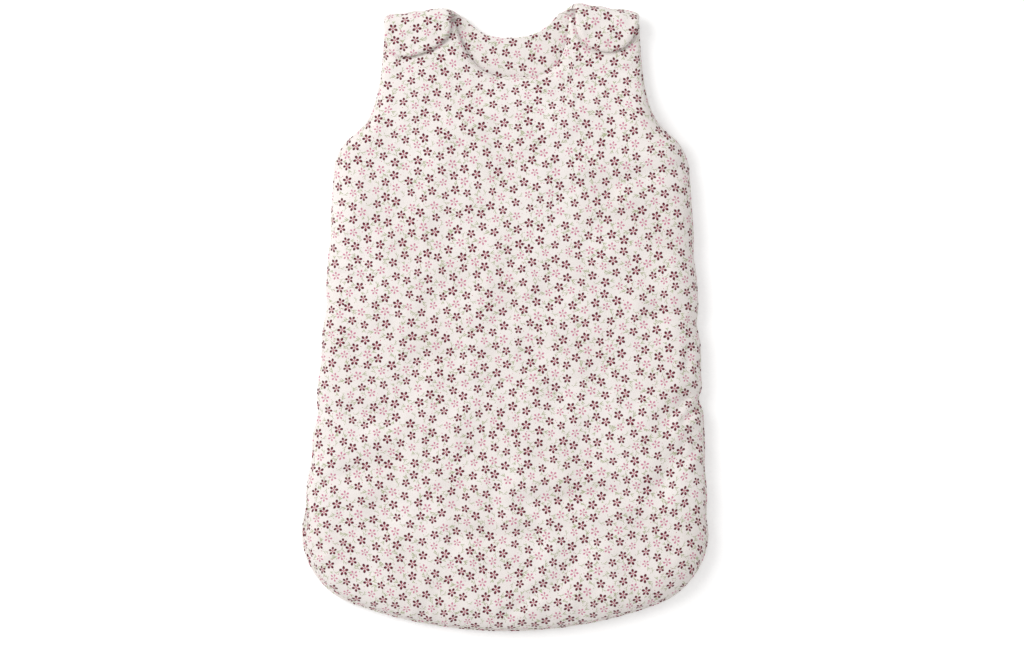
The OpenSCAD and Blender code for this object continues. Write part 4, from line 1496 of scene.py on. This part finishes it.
@dataclass
class BagBody:
    """The bag's front and back panels.

    Args:
        sizes: the bag's sizes.
        settling: how the front's cover settles over its padding.
        columns: grid columns in a half.
        rows: grid rows.
        side: about how far the sides lie from the middle.
        bow: how far the grid bows away from a corner, in corner radii.
        loose: height of the cover's soft unevenness.
        crumpled: height of its small unevenness.
        puckered: height of the gathers beside the front's seams.
        back_puckered: the same beside the back's.
        press_width: width of the groove that a tab's edge presses into the front.
        thinnest: least thickness of the padding.
    """

    sizes: BagSizes
    settling: CoverSettling = CoverSettling()
    columns: int = 80
    rows: int = 230
    side: float = 0.2
    bow: float = 4.2
    loose: float = 0.00045
    crumpled: float = 0.00010
    puckered: float = 0.00060
    back_puckered: float = 0.0004
    press_width: float = 0.0032
    thinnest: float = 0.0015

    def __post_init__(self) -> None:
        """Makes the outline."""
        self.outline = BagOutline(self.sizes)

    def half(self, neck: Array, strap_end: Array, shoulder: Array) -> Array:
        """Fills the right half of a panel with a grid.

        Args:
            neck: the neckline, from its middle to the strap.
            strap_end: outer corner of the strap's end.
            shoulder: where the armhole's line is worked out from.

        Returns:
            The grid's points.
        """
        s = self.sizes
        edge = self.outline.lower_edge()
        centre = np.array([s.hip_width / 2 - s.corner_radius, s.corner_height - s.length / 2])
        middle = centre + s.corner_radius * np.array([math.sqrt(0.5), -math.sqrt(0.5)])
        corner = int(np.argmin(np.hypot(*(edge - middle).T)))
        t = np.linspace(0, 1, self.columns + 1)
        bottom = resampled(edge[: corner + 1], 1 - (1 - t) ** 1.35)
        side_line = np.concatenate([edge[corner:], self.outline.armhole(shoulder)[1:]])
        side = resampled(side_line, dense_ends(np.linspace(0, 1, self.rows + 1), 1.2))
        half = self.columns // 2
        neck_part = resampled(neck, np.linspace(0, 1, half + 1))
        across = dense_ends(np.linspace(0, 1, self.columns - half + 1), 1.35)[:, None]
        strap = mix(neck[-1], strap_end, across)
        top = np.concatenate([neck_part, strap[1:]])
        return patch(bottom, side, top, self.bow * s.corner_radius)

    def pinched(self, grid: Array) -> Array:
        """Draws a grid's sides in where the seam has gathered.

        Args:
            grid: the panel's grid.

        Returns:
            The changed grid.
        """
        moved = grid.copy()
        for pinch in PINCHES:
            side = np.clip(grid[..., 0] * pinch.hand.value / self.side, 0, 1) ** 6
            near = bump(grid[..., 1] - pinch.y, pinch.width)
            moved[..., 0] -= pinch.hand.value * pinch.depth * near * side
        return moved

    def rise(
        self, grid: Array, armhole: Array, necks: dict[Hand, Array], hems: list[Array]
    ) -> tuple[Array, Array, Array]:
        """Works out how far the padding has risen over a grid.

        Args:
            grid: the panel's grid before it is laid down.
            armhole: the armhole's line in the right half.
            necks: the neckline of each half, as it would lie in the right one.
            hems: the lines of its other open edges in the right half.

        Returns:
            The rise, 0 to 1, the distance to the nearest seam or hem, and the place along it.
        """
        right = np.stack([np.abs(grid[..., 0]), grid[..., 1]], -1)
        seam_away, seam_place = nearest(right, self.outline.lower_edge())
        hem_away, hem_place = nearest(right, armhole)
        lines = [(neck, grid[..., 0] * hand.value >= 0, 1) for hand, neck in necks.items()]
        lines += [(hem, True, 2) for hem in hems]
        for line, here, shift in lines:
            away, place = nearest(right, line)
            closer = (away < hem_away) & here
            hem_away = np.where(closer, away, hem_away)
            hem_place = np.where(closer, place + shift, hem_place)
        s = self.sizes
        share = rounded(seam_away, s.side_rounding) * rounded(hem_away, s.hem_rounding)
        away = np.minimum(seam_away, hem_away)
        place = np.where(seam_away < hem_away, seam_place, hem_place + 3)
        return share, away, place * np.where(grid[..., 0] < 0, -1, 1)

    def puckers(self, away: Array, place: Array, seed: int) -> Array:
        """Works out small gathers that run in from the seams.

        Args:
            away: distance to the nearest seam or hem.
            place: place along it.
            seed: seed of the gathers.

        Returns:
            Their height, of about unit size.
        """
        along = ripples(place[..., None], 0.011, 0.034, seed, 10)
        patches = 0.5 + 0.5 * np.clip(ripples(place[..., None], 0.09, 0.2, seed + 1, 6), -1, 1)
        return along * patches * bump(away - 0.011, 0.012)

    def opening(self, grid: Array) -> Array:
        """Works out how far the front's edge stands above the back's.

        Args:
            grid: the front's grid before it is laid down.

        Returns:
            The distance for each point.
        """
        s = self.sizes
        right = np.stack([np.abs(grid[..., 0]), grid[..., 1]], -1)
        from_underarm = np.hypot(*np.moveaxis(right - s.underarm, -1, 0))
        left = grid[..., 0] < 0
        beside_zip = np.where(left, s.zip_gap, 0.0)
        along_hem = mix(s.zip_gap, s.strap_gap, s.thinning(grid[..., 1]))
        hem = mix(beside_zip, along_hem, smooth(from_underarm / 0.04))
        below = grid[..., 1] < s.underarm[1]
        zip_end = s.underarm[1] - s.zip_reach
        zip_share = smooth((grid[..., 1] - zip_end + s.slot_tail) / s.slot_tail)
        outer = np.where(below, beside_zip * zip_share, hem)
        reach = np.clip(np.abs(grid[..., 0]) / self.side, 0, 1)
        neck_share = smooth((grid[..., 1] - 0.1) / 0.12)
        return np.where(below, outer * reach**2, mix(outer * reach, hem, neck_share))

    def swell(self, grid: Array) -> Array:
        """Works out the broad hollows of the front.

        Args:
            grid: the front's grid before it is laid down.

        Returns:
            Share of the hollows' depth at each point.
        """
        turn = 2 * math.pi / self.sizes.swell_length
        x, y = grid[..., 0], grid[..., 1]
        return (1 + np.sin(turn * (x + y / 3)) * np.cos(turn * (0.75 * y - x / 4))) / 2

    def front(self, tab_lines: list[Array]) -> bpy.types.Object:
        """Builds the front panel.

        Args:
            tab_lines: edges of the tabs, which press into the straps under them.

        Returns:
            The panel.
        """
        s = self.sizes
        shoulder = self.outline.front_shoulder
        strap_end = shoulder + s.strap_width * s.across
        necks = {hand: self.outline.front_neck(hand) for hand in Hand}
        halves = {hand: self.half(necks[hand], strap_end, shoulder) for hand in Hand}
        grid = np.concatenate([mirrored(halves[Hand.LEFT]), halves[Hand.RIGHT]], 1)
        strap_line = np.stack([shoulder, strap_end])
        armhole = self.outline.armhole(shoulder)
        rise, away, place = self.rise(grid, armhole, necks, [strap_line])
        opening = self.opening(grid)
        y = grid[..., 1]
        thin = s.thinning(y)
        roof = mix(s.cavity_gap, s.strap_gap, thin)
        loft = mix(s.front_loft, s.strap_loft, thin)
        under = s.seam_z + mix(opening, roof, rise)
        over = s.seam_z + mix(opening + s.seam_edge, roof + loft, rise)
        broad = sum(crease.height(grid, s) for crease in MAIN_CREASES)
        broad = broad - s.swell_depth * self.swell(grid)
        small = sum(crease.height(grid, s) for crease in SMALL_CREASES)
        relief = (broad * rise + small * rise**0.3) * (1 - thin)
        fine = self.loose * ripples(grid, 0.035, 0.08, 11)
        fine = fine + self.crumpled * ripples(grid, 0.012, 0.028, 12)
        over = over + relief + fine * rise + self.puckered * self.puckers(away, place, 13)
        for line in tab_lines:
            outside = nearest(grid, line)[0] - s.tab_press_out
            over = over - s.tab_press * bump(outside, self.press_width)
        laid = lay(self.pinched(grid))
        upper = with_heights(laid, np.maximum(over, under + self.thinnest))
        upper = upper + self.settling.moves(upper, away)
        upper[..., 2] = np.maximum(upper[..., 2], under + 0.0012)
        for hand in Hand:
            upper = drawn_back(upper, f"{hand.name.lower()}_snap_stud", 0.0003)
        lower = with_heights(laid, under)
        return Padding("front_panel", upper, lower, unrolled(upper), grid + 0.5).build()

    def back(self) -> bpy.types.Object:
        """Builds the back panel.

        Returns:
            The panel.
        """
        s = self.sizes
        neck = self.outline.back_neck()
        strap_end = s.fold_start + s.strap_width * s.across
        half = self.half(neck, strap_end, s.fold_start)
        grid = np.concatenate([mirrored(half), half], 1)
        necks = {hand: neck for hand in Hand}
        rise, away, place = self.rise(grid, self.outline.armhole(s.fold_start), necks, [])
        loft = mix(s.back_loft, s.strap_loft, s.thinning(grid[..., 1]))
        under = s.seam_z - mix(s.seam_edge, loft, rise)
        under = under + self.back_puckered * self.puckers(away, place, 23) * smooth(under / 0.003)
        hollow = 0.0006 + 0.0003 * (1 + ripples(grid, 0.03, 0.08, 24))
        over = s.seam_z - hollow * smooth(away / 0.03)
        laid = lay(self.shown_beyond(self.pinched(grid)))
        upper, lower = with_heights(laid, over), with_heights(laid, np.maximum(under, 0))
        return Padding("back_panel", upper, lower, grid + 0.25, unrolled(lower), Part.INSIDE).build()

    def shown_beyond(self, grid: Array) -> Array:
        """Grows the back's grid a little, so that it shows past the front at the feet.

        Args:
            grid: the back's grid.

        Returns:
            The changed grid.
        """
        moved = grid.copy()
        low = smooth((-0.12 - grid[..., 1]) / 0.12)
        left = np.clip(-grid[..., 0] / self.side, 0, 1) ** 3
        bottom = smooth((-0.27 - grid[..., 1]) / 0.07)
        moved[..., 0] -= 0.0036 * low * left
        moved[..., 1] -= 0.0018 * bottom
        return moved


@dataclass
class Shoulder:
    """A back strap's turn over the shoulder and the tab that it ends in, in one piece.

    Args:
        sizes: the bag's sizes.
        hand: which shoulder.
        inner: the tab's outline from its lowest place to the neck's end of the fold line, across
            and along the strap.
        outer: the same to the armhole's end.
        seed: seed of its unevenness.
        columns: grid columns in a half.
        tab_rows: grid rows in the tab.
        fold_rows: grid rows round the turn.
        flare: how far the strap widens inwards as it turns.
        loose: height of the tab's unevenness.
        waved: height of the turn's unevenness.
        cloth_radius: radius that the print is laid out over at the turn.
    """

    sizes: BagSizes
    hand: Hand
    inner: tuple[Point, Point, Point, Point]
    outer: tuple[Point, Point, Point, Point]
    seed: int
    columns: int = 26
    tab_rows: int = 34
    fold_rows: int = 28
    flare: float = 0.012
    loose: float = 0.0004
    waved: float = 0.0005
    cloth_radius: float = 0.0135

    def tab_half(self, outline: tuple[Point, Point, Point, Point]) -> Array:
        """Fills one half of the tab with a grid.

        Args:
            outline: the half's outline, from its lowest place to the fold line.

        Returns:
            The grid's points, rows from that place up to the fold line.
        """
        line = bezier(*outline)
        end = outline[-1][0]
        middle = len(line) // 2
        t = np.linspace(0, 1, self.columns + 1)
        bottom = resampled(line[: middle + 1], 1 - (1 - t) ** 1.3)
        side = resampled(line[middle:], dense_ends(np.linspace(0, 1, self.tab_rows + 1), 1.15))
        top = np.stack([mix(outline[0][0], end, 1 - (1 - t) ** 1.3), np.zeros(self.columns + 1)], 1)
        return patch(bottom, side, top, 0.0)

    def spread(self, local: Array) -> Array:
        """Moves places on the strap to the plane of the flat bag.

        Args:
            local: places across and along the strap.

        Returns:
            The places in the plane.
        """
        s = self.sizes
        middle = s.fold_start + s.strap_width / 2 * s.across
        flat = middle + local[..., :1] * s.across + local[..., 1:2] * s.along
        flat[..., 0] *= self.hand.value
        return flat

    def placed(self, local: Array) -> Array:
        """Returns points moved from the strap's own directions to the bag's."""
        return lay(np.concatenate([self.spread(local), local[..., 2:]], -1))

    @property
    def edge_line(self) -> Array:
        """The tab's edge, across and along the strap."""
        return np.concatenate([bezier(*self.inner)[::-1], bezier(*self.outer)[1:]])

    def tab_line(self) -> Array:
        """Returns the tab's edge in the plane of the flat bag."""
        return self.spread(self.edge_line)

    def tab(self) -> tuple[Array, Array]:
        """Lays out the tab.

        Returns:
            Its flat grid and the heights of its upper surface.
        """
        s = self.sizes
        grid = np.concatenate([self.tab_half(self.inner)[:, :0:-1], self.tab_half(self.outer)], 1)
        away, _ = nearest(grid, self.edge_line)
        lift = self.loose * ripples(grid, 0.012, 0.03, self.seed) * smooth(away / 0.006)
        high = s.tab_z + mix(s.tab_edge, s.tab_loft, rounded(away, s.tab_rounding)) + lift
        return grid, high

    def fold(self, x: Array, high: Array) -> tuple[Array, Array]:
        """Turns the strap over the shoulder.

        Args:
            x: places of the tab's last row, across the strap.
            high: heights of that row.

        Returns:
            The upper and the lower surface of the turn: across, along and above the strap.
        """
        s = self.sizes
        half_width = s.strap_width / 2
        across = (x - x[0]) / (x[-1] - x[0])
        wide = mix(-half_width - self.flare, half_width, across)
        edge = np.minimum(wide - wide[0], wide[-1] - wide)
        low = s.seam_z - mix(s.seam_edge, s.strap_loft, rounded(edge, s.hem_rounding))
        radius = (high - low) / 2
        inner_radius = (s.tab_z - s.seam_z) / 2
        over_rows, under_rows = [], []
        for angle in np.linspace(math.pi, 0, self.fold_rows + 1)[1:]:
            here = mix(x, wide, (1 - angle / math.pi) ** 2)
            places = np.stack([x, np.full(x.shape, angle * 0.01)], 1)
            waves = ripples(places, 0.012, 0.03, self.seed + 1)
            reach = (radius + self.waved * waves * math.sin(angle)) * math.sin(angle)
            over_rows.append(np.stack([here, reach, low + radius * (1 - math.cos(angle))], 1))
            level = s.seam_z + inner_radius * (1 - math.cos(angle))
            depth = inner_radius * math.sin(angle)
            under_rows.append(np.stack([here, np.full(x.shape, depth), np.full(x.shape, level)], 1))
        return np.array(over_rows), np.array(under_rows)

    def build(self) -> bpy.types.Object:
        """Builds the piece.

        Returns:
            The piece.
        """
        tab, high = self.tab()
        x = tab[-1, :, 0]
        fold_over, fold_under = self.fold(x, high[-1])
        tab_under = with_heights(tab, np.full(high.shape, self.sizes.tab_z))
        over = self.placed(np.concatenate([with_heights(tab, high), fold_over]))
        under = self.placed(np.concatenate([tab_under, fold_under]))
        step = math.pi / self.fold_rows * self.cloth_radius
        turn = np.cumsum(np.full(self.fold_rows, step))
        fold_cloth = np.stack(np.broadcast_arrays(x[None, :], turn[:, None]), -1)
        cloth = np.concatenate([tab, fold_cloth])
        socket = f"{self.hand.name.lower()}_snap_socket"
        under[: len(tab)] = drawn_back(under[: len(tab)], socket, 0.0009)
        if self.hand is Hand.LEFT:
            over, under, cloth = over[:, ::-1], under[:, ::-1], cloth[:, ::-1]
        name = f"{self.hand.name.lower()}_shoulder"
        shift = np.array([0.11 * self.seed, 0.07 * self.seed])
        return Padding(name, over, under, cloth + shift, cloth - shift, rim_bulge=0.0009).build()


@dataclass(frozen=True)
class ZipGuard:
    """The strip of cloth behind the zip: a standing wall, and a foot sewn to the back panel.

    Args:
        sizes: the bag's sizes.
        start: how far below the underarm the strip begins.
        length: its length.
        inset: distance of the wall's outer face from the side.
        wall_top: height of the wall's free edge.
        foot_z: height of the foot's underside.
        foot_width: width of the foot, from the wall's outer face.
        thickness: thickness of the cloth.
        turn: radius of the bend between the wall and the foot.
        lean: how far the wall's free edge waves into the bag.
        seed: seed of the waves.
        rows: grid rows along the strip.
        columns: grid columns across it.
    """

    sizes: BagSizes
    start: float = 0.001
    length: float = 0.382
    inset: float = 0.0074
    wall_top: float = 0.0208
    foot_z: float = 0.0131
    foot_width: float = 0.0110
    thickness: float = 0.00055
    turn: float = 0.0011
    lean: float = 0.0007
    seed: int = 41
    rows: int = 192
    columns: int = 28

    @property
    def flat(self) -> Point:
        """Width and length of the strip before it is folded."""
        return self.wall_top - self.foot_z + self.foot_width, self.length

    def profile(self) -> Array:
        """Draws the middle of the cloth across the strip.

        Returns:
            The line's points, as insets and heights.
        """
        inner, low = self.inset + self.thickness / 2, self.foot_z + self.thickness / 2
        bend = bezier(
            (inner, low + self.turn), (inner, low + self.turn / 2),
            (inner + self.turn / 2, low), (inner + self.turn, low),
        )
        line = np.array([(inner, self.wall_top), *bend, (self.inset + self.foot_width, low)])
        return resampled(line, np.linspace(0, 1, self.columns))

    def build(self) -> bpy.types.Object:
        """Makes the strip.

        Returns:
            The strip.
        """
        profile = self.profile()
        foot, head = BagOutline(self.sizes).lower_edge()[-2:] * (-1, 1)
        down = (foot - head) / np.linalg.norm(foot - head)
        inwards = np.array([-down[1], down[0]])
        along = self.start + np.linspace(self.length, 0, self.rows)
        ahead = np.gradient(profile, axis=0)
        facing = np.stack([-ahead[:, 1], ahead[:, 0]], 1)
        facing /= np.linalg.norm(facing, axis=1, keepdims=True)
        rise = np.clip((profile[:, 1] - self.foot_z) / (self.wall_top - self.foot_z), 0, 1)
        places = np.stack([along, np.zeros_like(along)], 1)
        wave = 0.5 + 0.5 * np.clip(ripples(places, 0.016, 0.07, self.seed), -1, 1)
        surfaces = []
        for side in (1, -1):
            face = profile + side * self.thickness / 2 * facing
            insets = face[None, :, 0] + self.lean * wave[:, None] * rise[None, :] ** 2
            plan = head + along[:, None, None] * down + insets[..., None] * inwards
            surfaces.append(with_heights(plan, np.broadcast_to(face[:, 1], insets.shape)))
        across = run_of(profile)
        cloth = np.stack(np.broadcast_arrays(across[None, :], -along[:, None]), -1)
        upper, lower = surfaces
        strip = Padding("zip_guard_cloth", upper, lower, cloth, cloth, rim_bulge=0.0, rim_steps=1)
        return strip.build()


# --- Light, floor and camera ----------------------------------------------------------------------


@dataclass(frozen=True)
class Studio:
    """A pale floor, soft light from the upper left, and a camera straight above.

    Args:
        frame_width: width that the camera sees at focus_height.
        camera_height: height of the camera.
        focus_height: level that frame_width holds for.
        centre_y: where the camera stands along the bag.
        floor_size: width of the floor.
        floor_z: its height.
        floor_colour: its colour.
        floor_glow: light that it adds for the camera.
        sky: strength of the light from all round.
        sky_colour: colour of that light.
        key_place: where the lamp stands.
        key_size: width of the lamp.
        key_energy: power of the lamp.
    """

    frame_width: float = 1.1506
    camera_height: float = 3.0
    focus_height: float = 0.016
    centre_y: float = -0.0056
    floor_size: float = 24.0
    floor_z: float = -0.0002
    floor_colour: Colour = (0.93, 0.93, 0.93)
    floor_glow: float = 0.25
    sky: float = 0.69
    sky_colour: Colour = (1.0, 0.995, 0.99)
    key_place: tuple[float, float, float] = (-2.0, 1.05, 2.45)
    key_size: float = 2.0
    key_energy: float = 54

    @staticmethod
    def seen(n: Nodes) -> bpy.types.NodeSocket:
        """Tells what the camera sees from what only lights the bag.

        Args:
            n: helper for the tree.

        Returns:
            1 for what the camera sees, also in metal and through glass, and 0 for the rest.
        """
        rays = n.add("ShaderNodeLightPath")
        direct = n.maths("MAXIMUM", rays.outputs["Is Camera Ray"], rays.outputs["Is Glossy Ray"])
        return n.maths("MAXIMUM", direct, rays.outputs["Is Transmission Ray"])

    def camera(self) -> None:
        """Makes the camera."""
        data = bpy.data.cameras.new("camera")
        data.sensor_width = 36.0
        data.lens = data.sensor_width * (self.camera_height - self.focus_height) / self.frame_width
        data.clip_end = 50
        camera = new_object("camera", data)
        camera.location = (0, self.centre_y, self.camera_height)
        bpy.context.scene.camera = camera

    def lamps(self) -> None:
        """Makes the lamps and the world."""
        key = bpy.data.lights.new("key", "AREA")
        key.shape = "DISK"
        key.size = self.key_size
        key.energy = self.key_energy
        place = new_object("key", key)
        place.location = self.key_place
        x, y, z = self.key_place
        # turned so that it faces the middle of the bag
        place.rotation_euler = (math.atan2(math.hypot(x, y), z), 0.0, math.atan2(-x, y) + math.pi)
        world = bpy.data.worlds.new("studio")
        world.use_nodes = True
        background = world.node_tree.nodes["Background"]
        background.inputs["Color"].default_value = solid(self.sky_colour)
        n = Nodes(world.node_tree)
        strength = n.maths("MULTIPLY_ADD", self.seen(n), 1.0 - self.sky, self.sky)
        n.link(background, "Strength", strength)
        bpy.context.scene.world = world

    def floor(self) -> None:
        """Makes the floor, white to the camera where no shadow falls on it."""
        half = self.floor_size / 2
        corners = [
            (x * half, y * half, self.floor_z) for x, y in ((-1, -1), (1, -1), (1, 1), (-1, 1))
        ]
        mesh = bpy.data.meshes.new("floor")
        mesh.from_pydata(corners, [], [(0, 1, 2, 3)])
        floor = new_object("floor", mesh)
        material, n, _ = new_material("floor")
        n.tree.nodes.clear()
        out = n.add("ShaderNodeOutputMaterial")
        matt = n.add("ShaderNodeBsdfDiffuse", {"Color": solid(self.floor_colour)})
        strength = n.maths("MULTIPLY", self.seen(n), self.floor_glow)
        glow = n.add("ShaderNodeEmission", {"Strength": strength})
        both = n.add("ShaderNodeAddShader", {0: matt.outputs[0], 1: glow.outputs[0]})
        n.link(out, "Surface", both.outputs[0])
        mesh.materials.append(material)

    def build(self) -> None:
        """Makes the whole studio."""
        bpy.context.scene.view_settings.view_transform = "Standard"
        self.camera()
        self.lamps()
        self.floor()


# --- Putting it together --------------------------------------------------------------------------

PRINT = PrintedCotton("cover_print", (0.900, 0.848, 0.822), (0.800, 0.742, 0.712))
LINING = PrintedCotton(
    "lining_print", (0.885, 0.832, 0.806), (0.790, 0.732, 0.702), shift=(0.31, 0.17), turn=0.20
)
METAL = Trim("pressed_steel", (0.47, 0.47, 0.48), (0.60, 0.60, 0.61), 1.0, 0.34, 900.0, 0.00002)
TAPE = Trim("tape_twill", (0.80, 0.76, 0.73), (0.86, 0.82, 0.79), 0.0, 0.85, 1200.0, 0.00012, True)
MOULDING = Trim("tooth_moulding", (0.80, 0.77, 0.73), (0.88, 0.86, 0.83), 0.0, 0.38, 600.0, 0.00002)
SLIDER = Trim("slider_casting", (0.58, 0.58, 0.60), (0.80, 0.80, 0.81), 1.0, 0.30, 700.0, 0.00002)

TRIM_NODES: dict[Trim, tuple[str, ...]] = {
    METAL: tuple(f"{hand}_{piece}" for hand in ("left", "right")
                 for piece in ("snap_cap", "snap_socket", "snap_stud", "stud_rivet")),
    TAPE: ("zip_tape_back", "zip_tape_front"),
    MOULDING: ("zip_teeth_back", "zip_teeth_front", "zip_top_stops", "zip_bottom_stop"),
    SLIDER: ("zip_slider", "zip_pull"),
}


@dataclass
class Dressing:
    """Builds the pieces, gives them their finishes and ties the panels and the zip's strip to the
    frame.
    """

    sizes: BagSizes

    def __post_init__(self) -> None:
        """Makes the cloth materials."""
        flowers, weave = PrintGroups(FlowerSizes()), WeaveGroup()
        self.outside = PRINT.build(flowers, weave)
        self.inside = LINING.build(flowers, weave)

    def finish_piece(self, piece: bpy.types.Object, nodes: tuple[str, ...]) -> None:
        """Args:
            piece: the piece.
            nodes: the CAD nodes that it stands for.
        """
        for cloth in (self.outside, self.inside):
            piece.data.materials.append(cloth)
        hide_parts(*nodes)
        LOG.info("%s: %d points", piece.name, len(piece.data.vertices))

    def body(self, shoulders: tuple[Shoulder, Shoulder]) -> None:
        """Builds both panels.

        Args:
            shoulders: the shoulders, whose tabs press into the front.
        """
        body = BagBody(self.sizes)
        front, back = body.front([shoulder.tab_line() for shoulder in shoulders]), body.back()
        self.finish_piece(front, ("front_shell", "front_wadding", "front_lining"))
        self.finish_piece(back, ("back_shell", "back_wadding", "back_lining"))
        for piece in (front, back):
            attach(piece, "bag")

    def both_shoulders(self) -> tuple[Shoulder, Shoulder]:
        """Gives both shoulders their outlines.

        Returns:
            The left and the right shoulder, not built yet.
        """
        left = Shoulder(
            self.sizes, Hand.LEFT,
            inner=((0.018, -0.0370), (-0.006, -0.0360), (-0.035, -0.0260), (-0.035, 0.0)),
            outer=((0.018, -0.0370), (0.031, -0.0375), (0.041, -0.0270), (0.0385, 0.0)),
            seed=1,
        )
        right = Shoulder(
            self.sizes, Hand.RIGHT,
            inner=((0.002, -0.0357), (-0.014, -0.0357), (-0.031, -0.0290), (-0.0325, 0.0)),
            outer=((0.002, -0.0357), (0.018, -0.0357), (0.034, -0.0270), (0.037, 0.0)),
            seed=2,
        )
        return left, right

    def dress_shoulders(self, shoulders: tuple[Shoulder, Shoulder]) -> None:
        """Builds both shoulders, gives them their cloth and hides the CAD nodes that they stand for.

        Args:
            shoulders: the shoulders.
        """
        for shoulder in shoulders:
            piece = shoulder.build()
            hand = shoulder.hand.name.lower()
            tab = [f"{hand}_tab_{layer}" for layer in ("shell", "wadding", "lining")]
            self.finish_piece(piece, (f"{hand}_strap_fold", *tab))
            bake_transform(piece)

    def dress_guard(self) -> None:
        """Builds the strip of cloth behind the zip."""
        guard = ZipGuard(self.sizes)
        piece = guard.build()
        for _ in Part:
            piece.data.materials.append(self.inside)
        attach(piece, "bag")
        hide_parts("zip_guard")
        guard.flat

    def trims(self) -> None:
        """Gives the zip and the press studs their finishes."""
        for trim, nodes in TRIM_NODES.items():
            material = trim.build()
            for name in nodes:
                self.dress_node(name, material)

    @staticmethod
    def dress_node(name: str, material: bpy.types.Material) -> None:
        """Puts a material on a CAD node's own object.

        Args:
            name: the node.
            material: the material.
        """
        node = frame["nodes"][name]
        if not node.material_slots:
            node.data.materials.append(material)
        for place in node.material_slots:
            place.material = material
        LOG.info("%s: %s", name, material.name)

    def build(self) -> None:
        """Builds everything."""
        shoulders = self.both_shoulders()
        self.body(shoulders)
        self.dress_shoulders(shoulders)
        self.dress_guard()
        self.trims()


def main() -> None:
    """Builds the studio and the bag."""
    logging.basicConfig(level=logging.INFO, format="%(name)s: %(message)s")
    Studio().build()
    Dressing(BagSizes()).build()
    bpy.context.view_layer.update()


if __name__ == "__main__":
    main()
